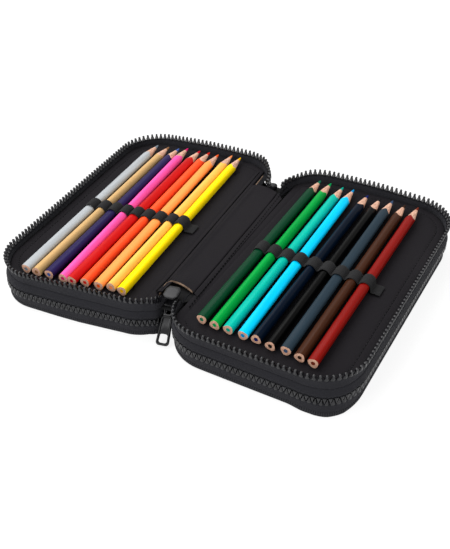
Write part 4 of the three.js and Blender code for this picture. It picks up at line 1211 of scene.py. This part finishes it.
# Pencil: rings of radius(angle) = radius + lobe x cos(3 angle) along its length. Where the barrel
# meets the cone, of radius (length - y) x slope + tip, the ring's own y follows the crossing,
# which scallops the lacquer's edge.
def pencilPiece(name, half, index, materials):
    shape, tray = pencilShape, trays[half]
    turned, yaw, aside, start, length = tray['pencils'][index][3:]
    angle = circle(shape['sides'])
    barrel = shape['radius'] + shape['lobe'] * np.cos(3 * (angle - math.radians(turned)))
    lead, tip, bare = shape['lead'], shape['tip'], shape['lead'] + shape['bare']

    def onCone(radius):
        return length - (radius - tip) * shape['cone'] / (shape['radius'] - tip)

    # radius, place along the pencil, and what it is made of: lacquer, wood or core
    rings = [
        (0.3, 0.25, 2), (lead, 0.12, 2), (lead + 0.05, 0, 1), (barrel - 0.45, 0, 1), (barrel - 0.12, 0.05, 0),
        (barrel, shape['round'], 0), (barrel, 40, 0), (barrel, 90, 0), (barrel, 140, 0),
        (barrel, onCone(barrel) - 0.3, 0), (barrel - 0.05, onCone(barrel), 1),
        (barrel - 0.12, onCone(barrel) + 0.1, 1), (bare, onCone(bare), 1), (lead + 0.02, onCone(lead), 2),
        (lead - 0.05, onCone(lead) + 0.3, 2), (tip + 0.2, length - 0.8, 2), (tip * 0.8, length - 0.15, 2),
        (0.1, length, 2),
    ]
    radius, along = (np.array([np.broadcast_to(ring[part], angle.shape) for ring in rings])
                     for part in (0, 1))
    place = tray['slope'] * (index - 4) * tray['pitch'] - shape['middle'] + start + along
    points = np.stack([placeAcross(half, index, place) + radius * np.cos(angle), place,
                       shape['axis'] + radius * np.sin(angle)], -1)
    return tubeMesh(name, onTray(half, points), materials, sharp=35, zones=[ring[2] for ring in rings[:-1]])


for name in halves:
    for index, (colour, paint, core, *others) in enumerate(trays[name]['pencils']):
        lacquer = lacquerMaterial('lacquer_' + colour, paint)
        lead = lacquerMaterial('lead_' + colour, core, pencilShape['coreRoughness'])
        piece = pencilPiece('barrel_' + colour, name, index, [lacquer, cedar, lead])
        finish(piece, 'pencil_' + colour, 'pencil_' + colour)
print('pencils made')

elasticShape = {
    'width': 10, 'place': -7.75, 'gap': 0.12, 'thickness': 0.7, 'span': 1.15, 'valley': 0.5, 'base': 21.25,
    'flatness': 0.35, 'roundness': 0.7, 'sides': 20, 'shoulder': -1,
    # the sewn ends, from the outer pencils' sides and from the base
    'start': [(-2.8, 0.3), (-0.9, 0.35), (-0.1, 1.1)],
    'end': [(0.15, 1.2), (1.2, 0.55), (3.4, 0.75), (5.8, 0.5), (6.3, 0.3)],
}


# Elastic seen along the pencils: over each barrel an arch of radius r about its axis, and between
# two barrels a sharp valley. The band is sheared along the row, as its pencils are.
def elasticPiece(name, half):
    shape, axis, tray = elasticShape, pencilShape['axis'], trays[half]
    inner = pencilShape['radius'] + pencilShape['lobe'] + shape['gap']
    angle = np.linspace(math.pi / 2 + shape['span'], math.pi / 2 - shape['span'], 15)
    centres = [placeAcross(half, index, shape['place']) for index in range(len(tray['pencils']))]
    first, last = centres[0] - inner, centres[-1] + inner
    line = [np.array(shape['start']) + [first, shape['base']], [[first, axis + shape['shoulder']]]]
    for index, centre in enumerate(centres):
        if index:
            line.append([[(centres[index - 1] + centre) / 2, axis + shape['valley']]])
        line.append(np.stack([centre + inner * np.cos(angle), axis + inner * np.sin(angle)], -1))
    line += [[[last, axis + shape['shoulder']]], np.array(shape['end']) + [last, shape['base']]]
    path = np.vstack(line)
    step = stepsAlong(path)
    turn = circle(shape['sides'])
    offset = shape['thickness'] / 2 * (1 + power(np.sin(turn), shape['roundness']))
    x = path[:, :1] - step[:, 1:] * offset
    z = path[:, 1:] + step[:, :1] * offset
    y = shape['place'] + tray['slope'] * x + shape['width'] / 2 * power(np.cos(turn), shape['flatness'])
    return tubeMesh(name, onTray(half, np.stack([x, y, z], -1)), elasticTape, sharp=60)


for name in halves:
    finish(elasticPiece(name + '_elastic', name), name + '_half', name + '_elastic_loops')
print('elastic made')

print('all pieces made')
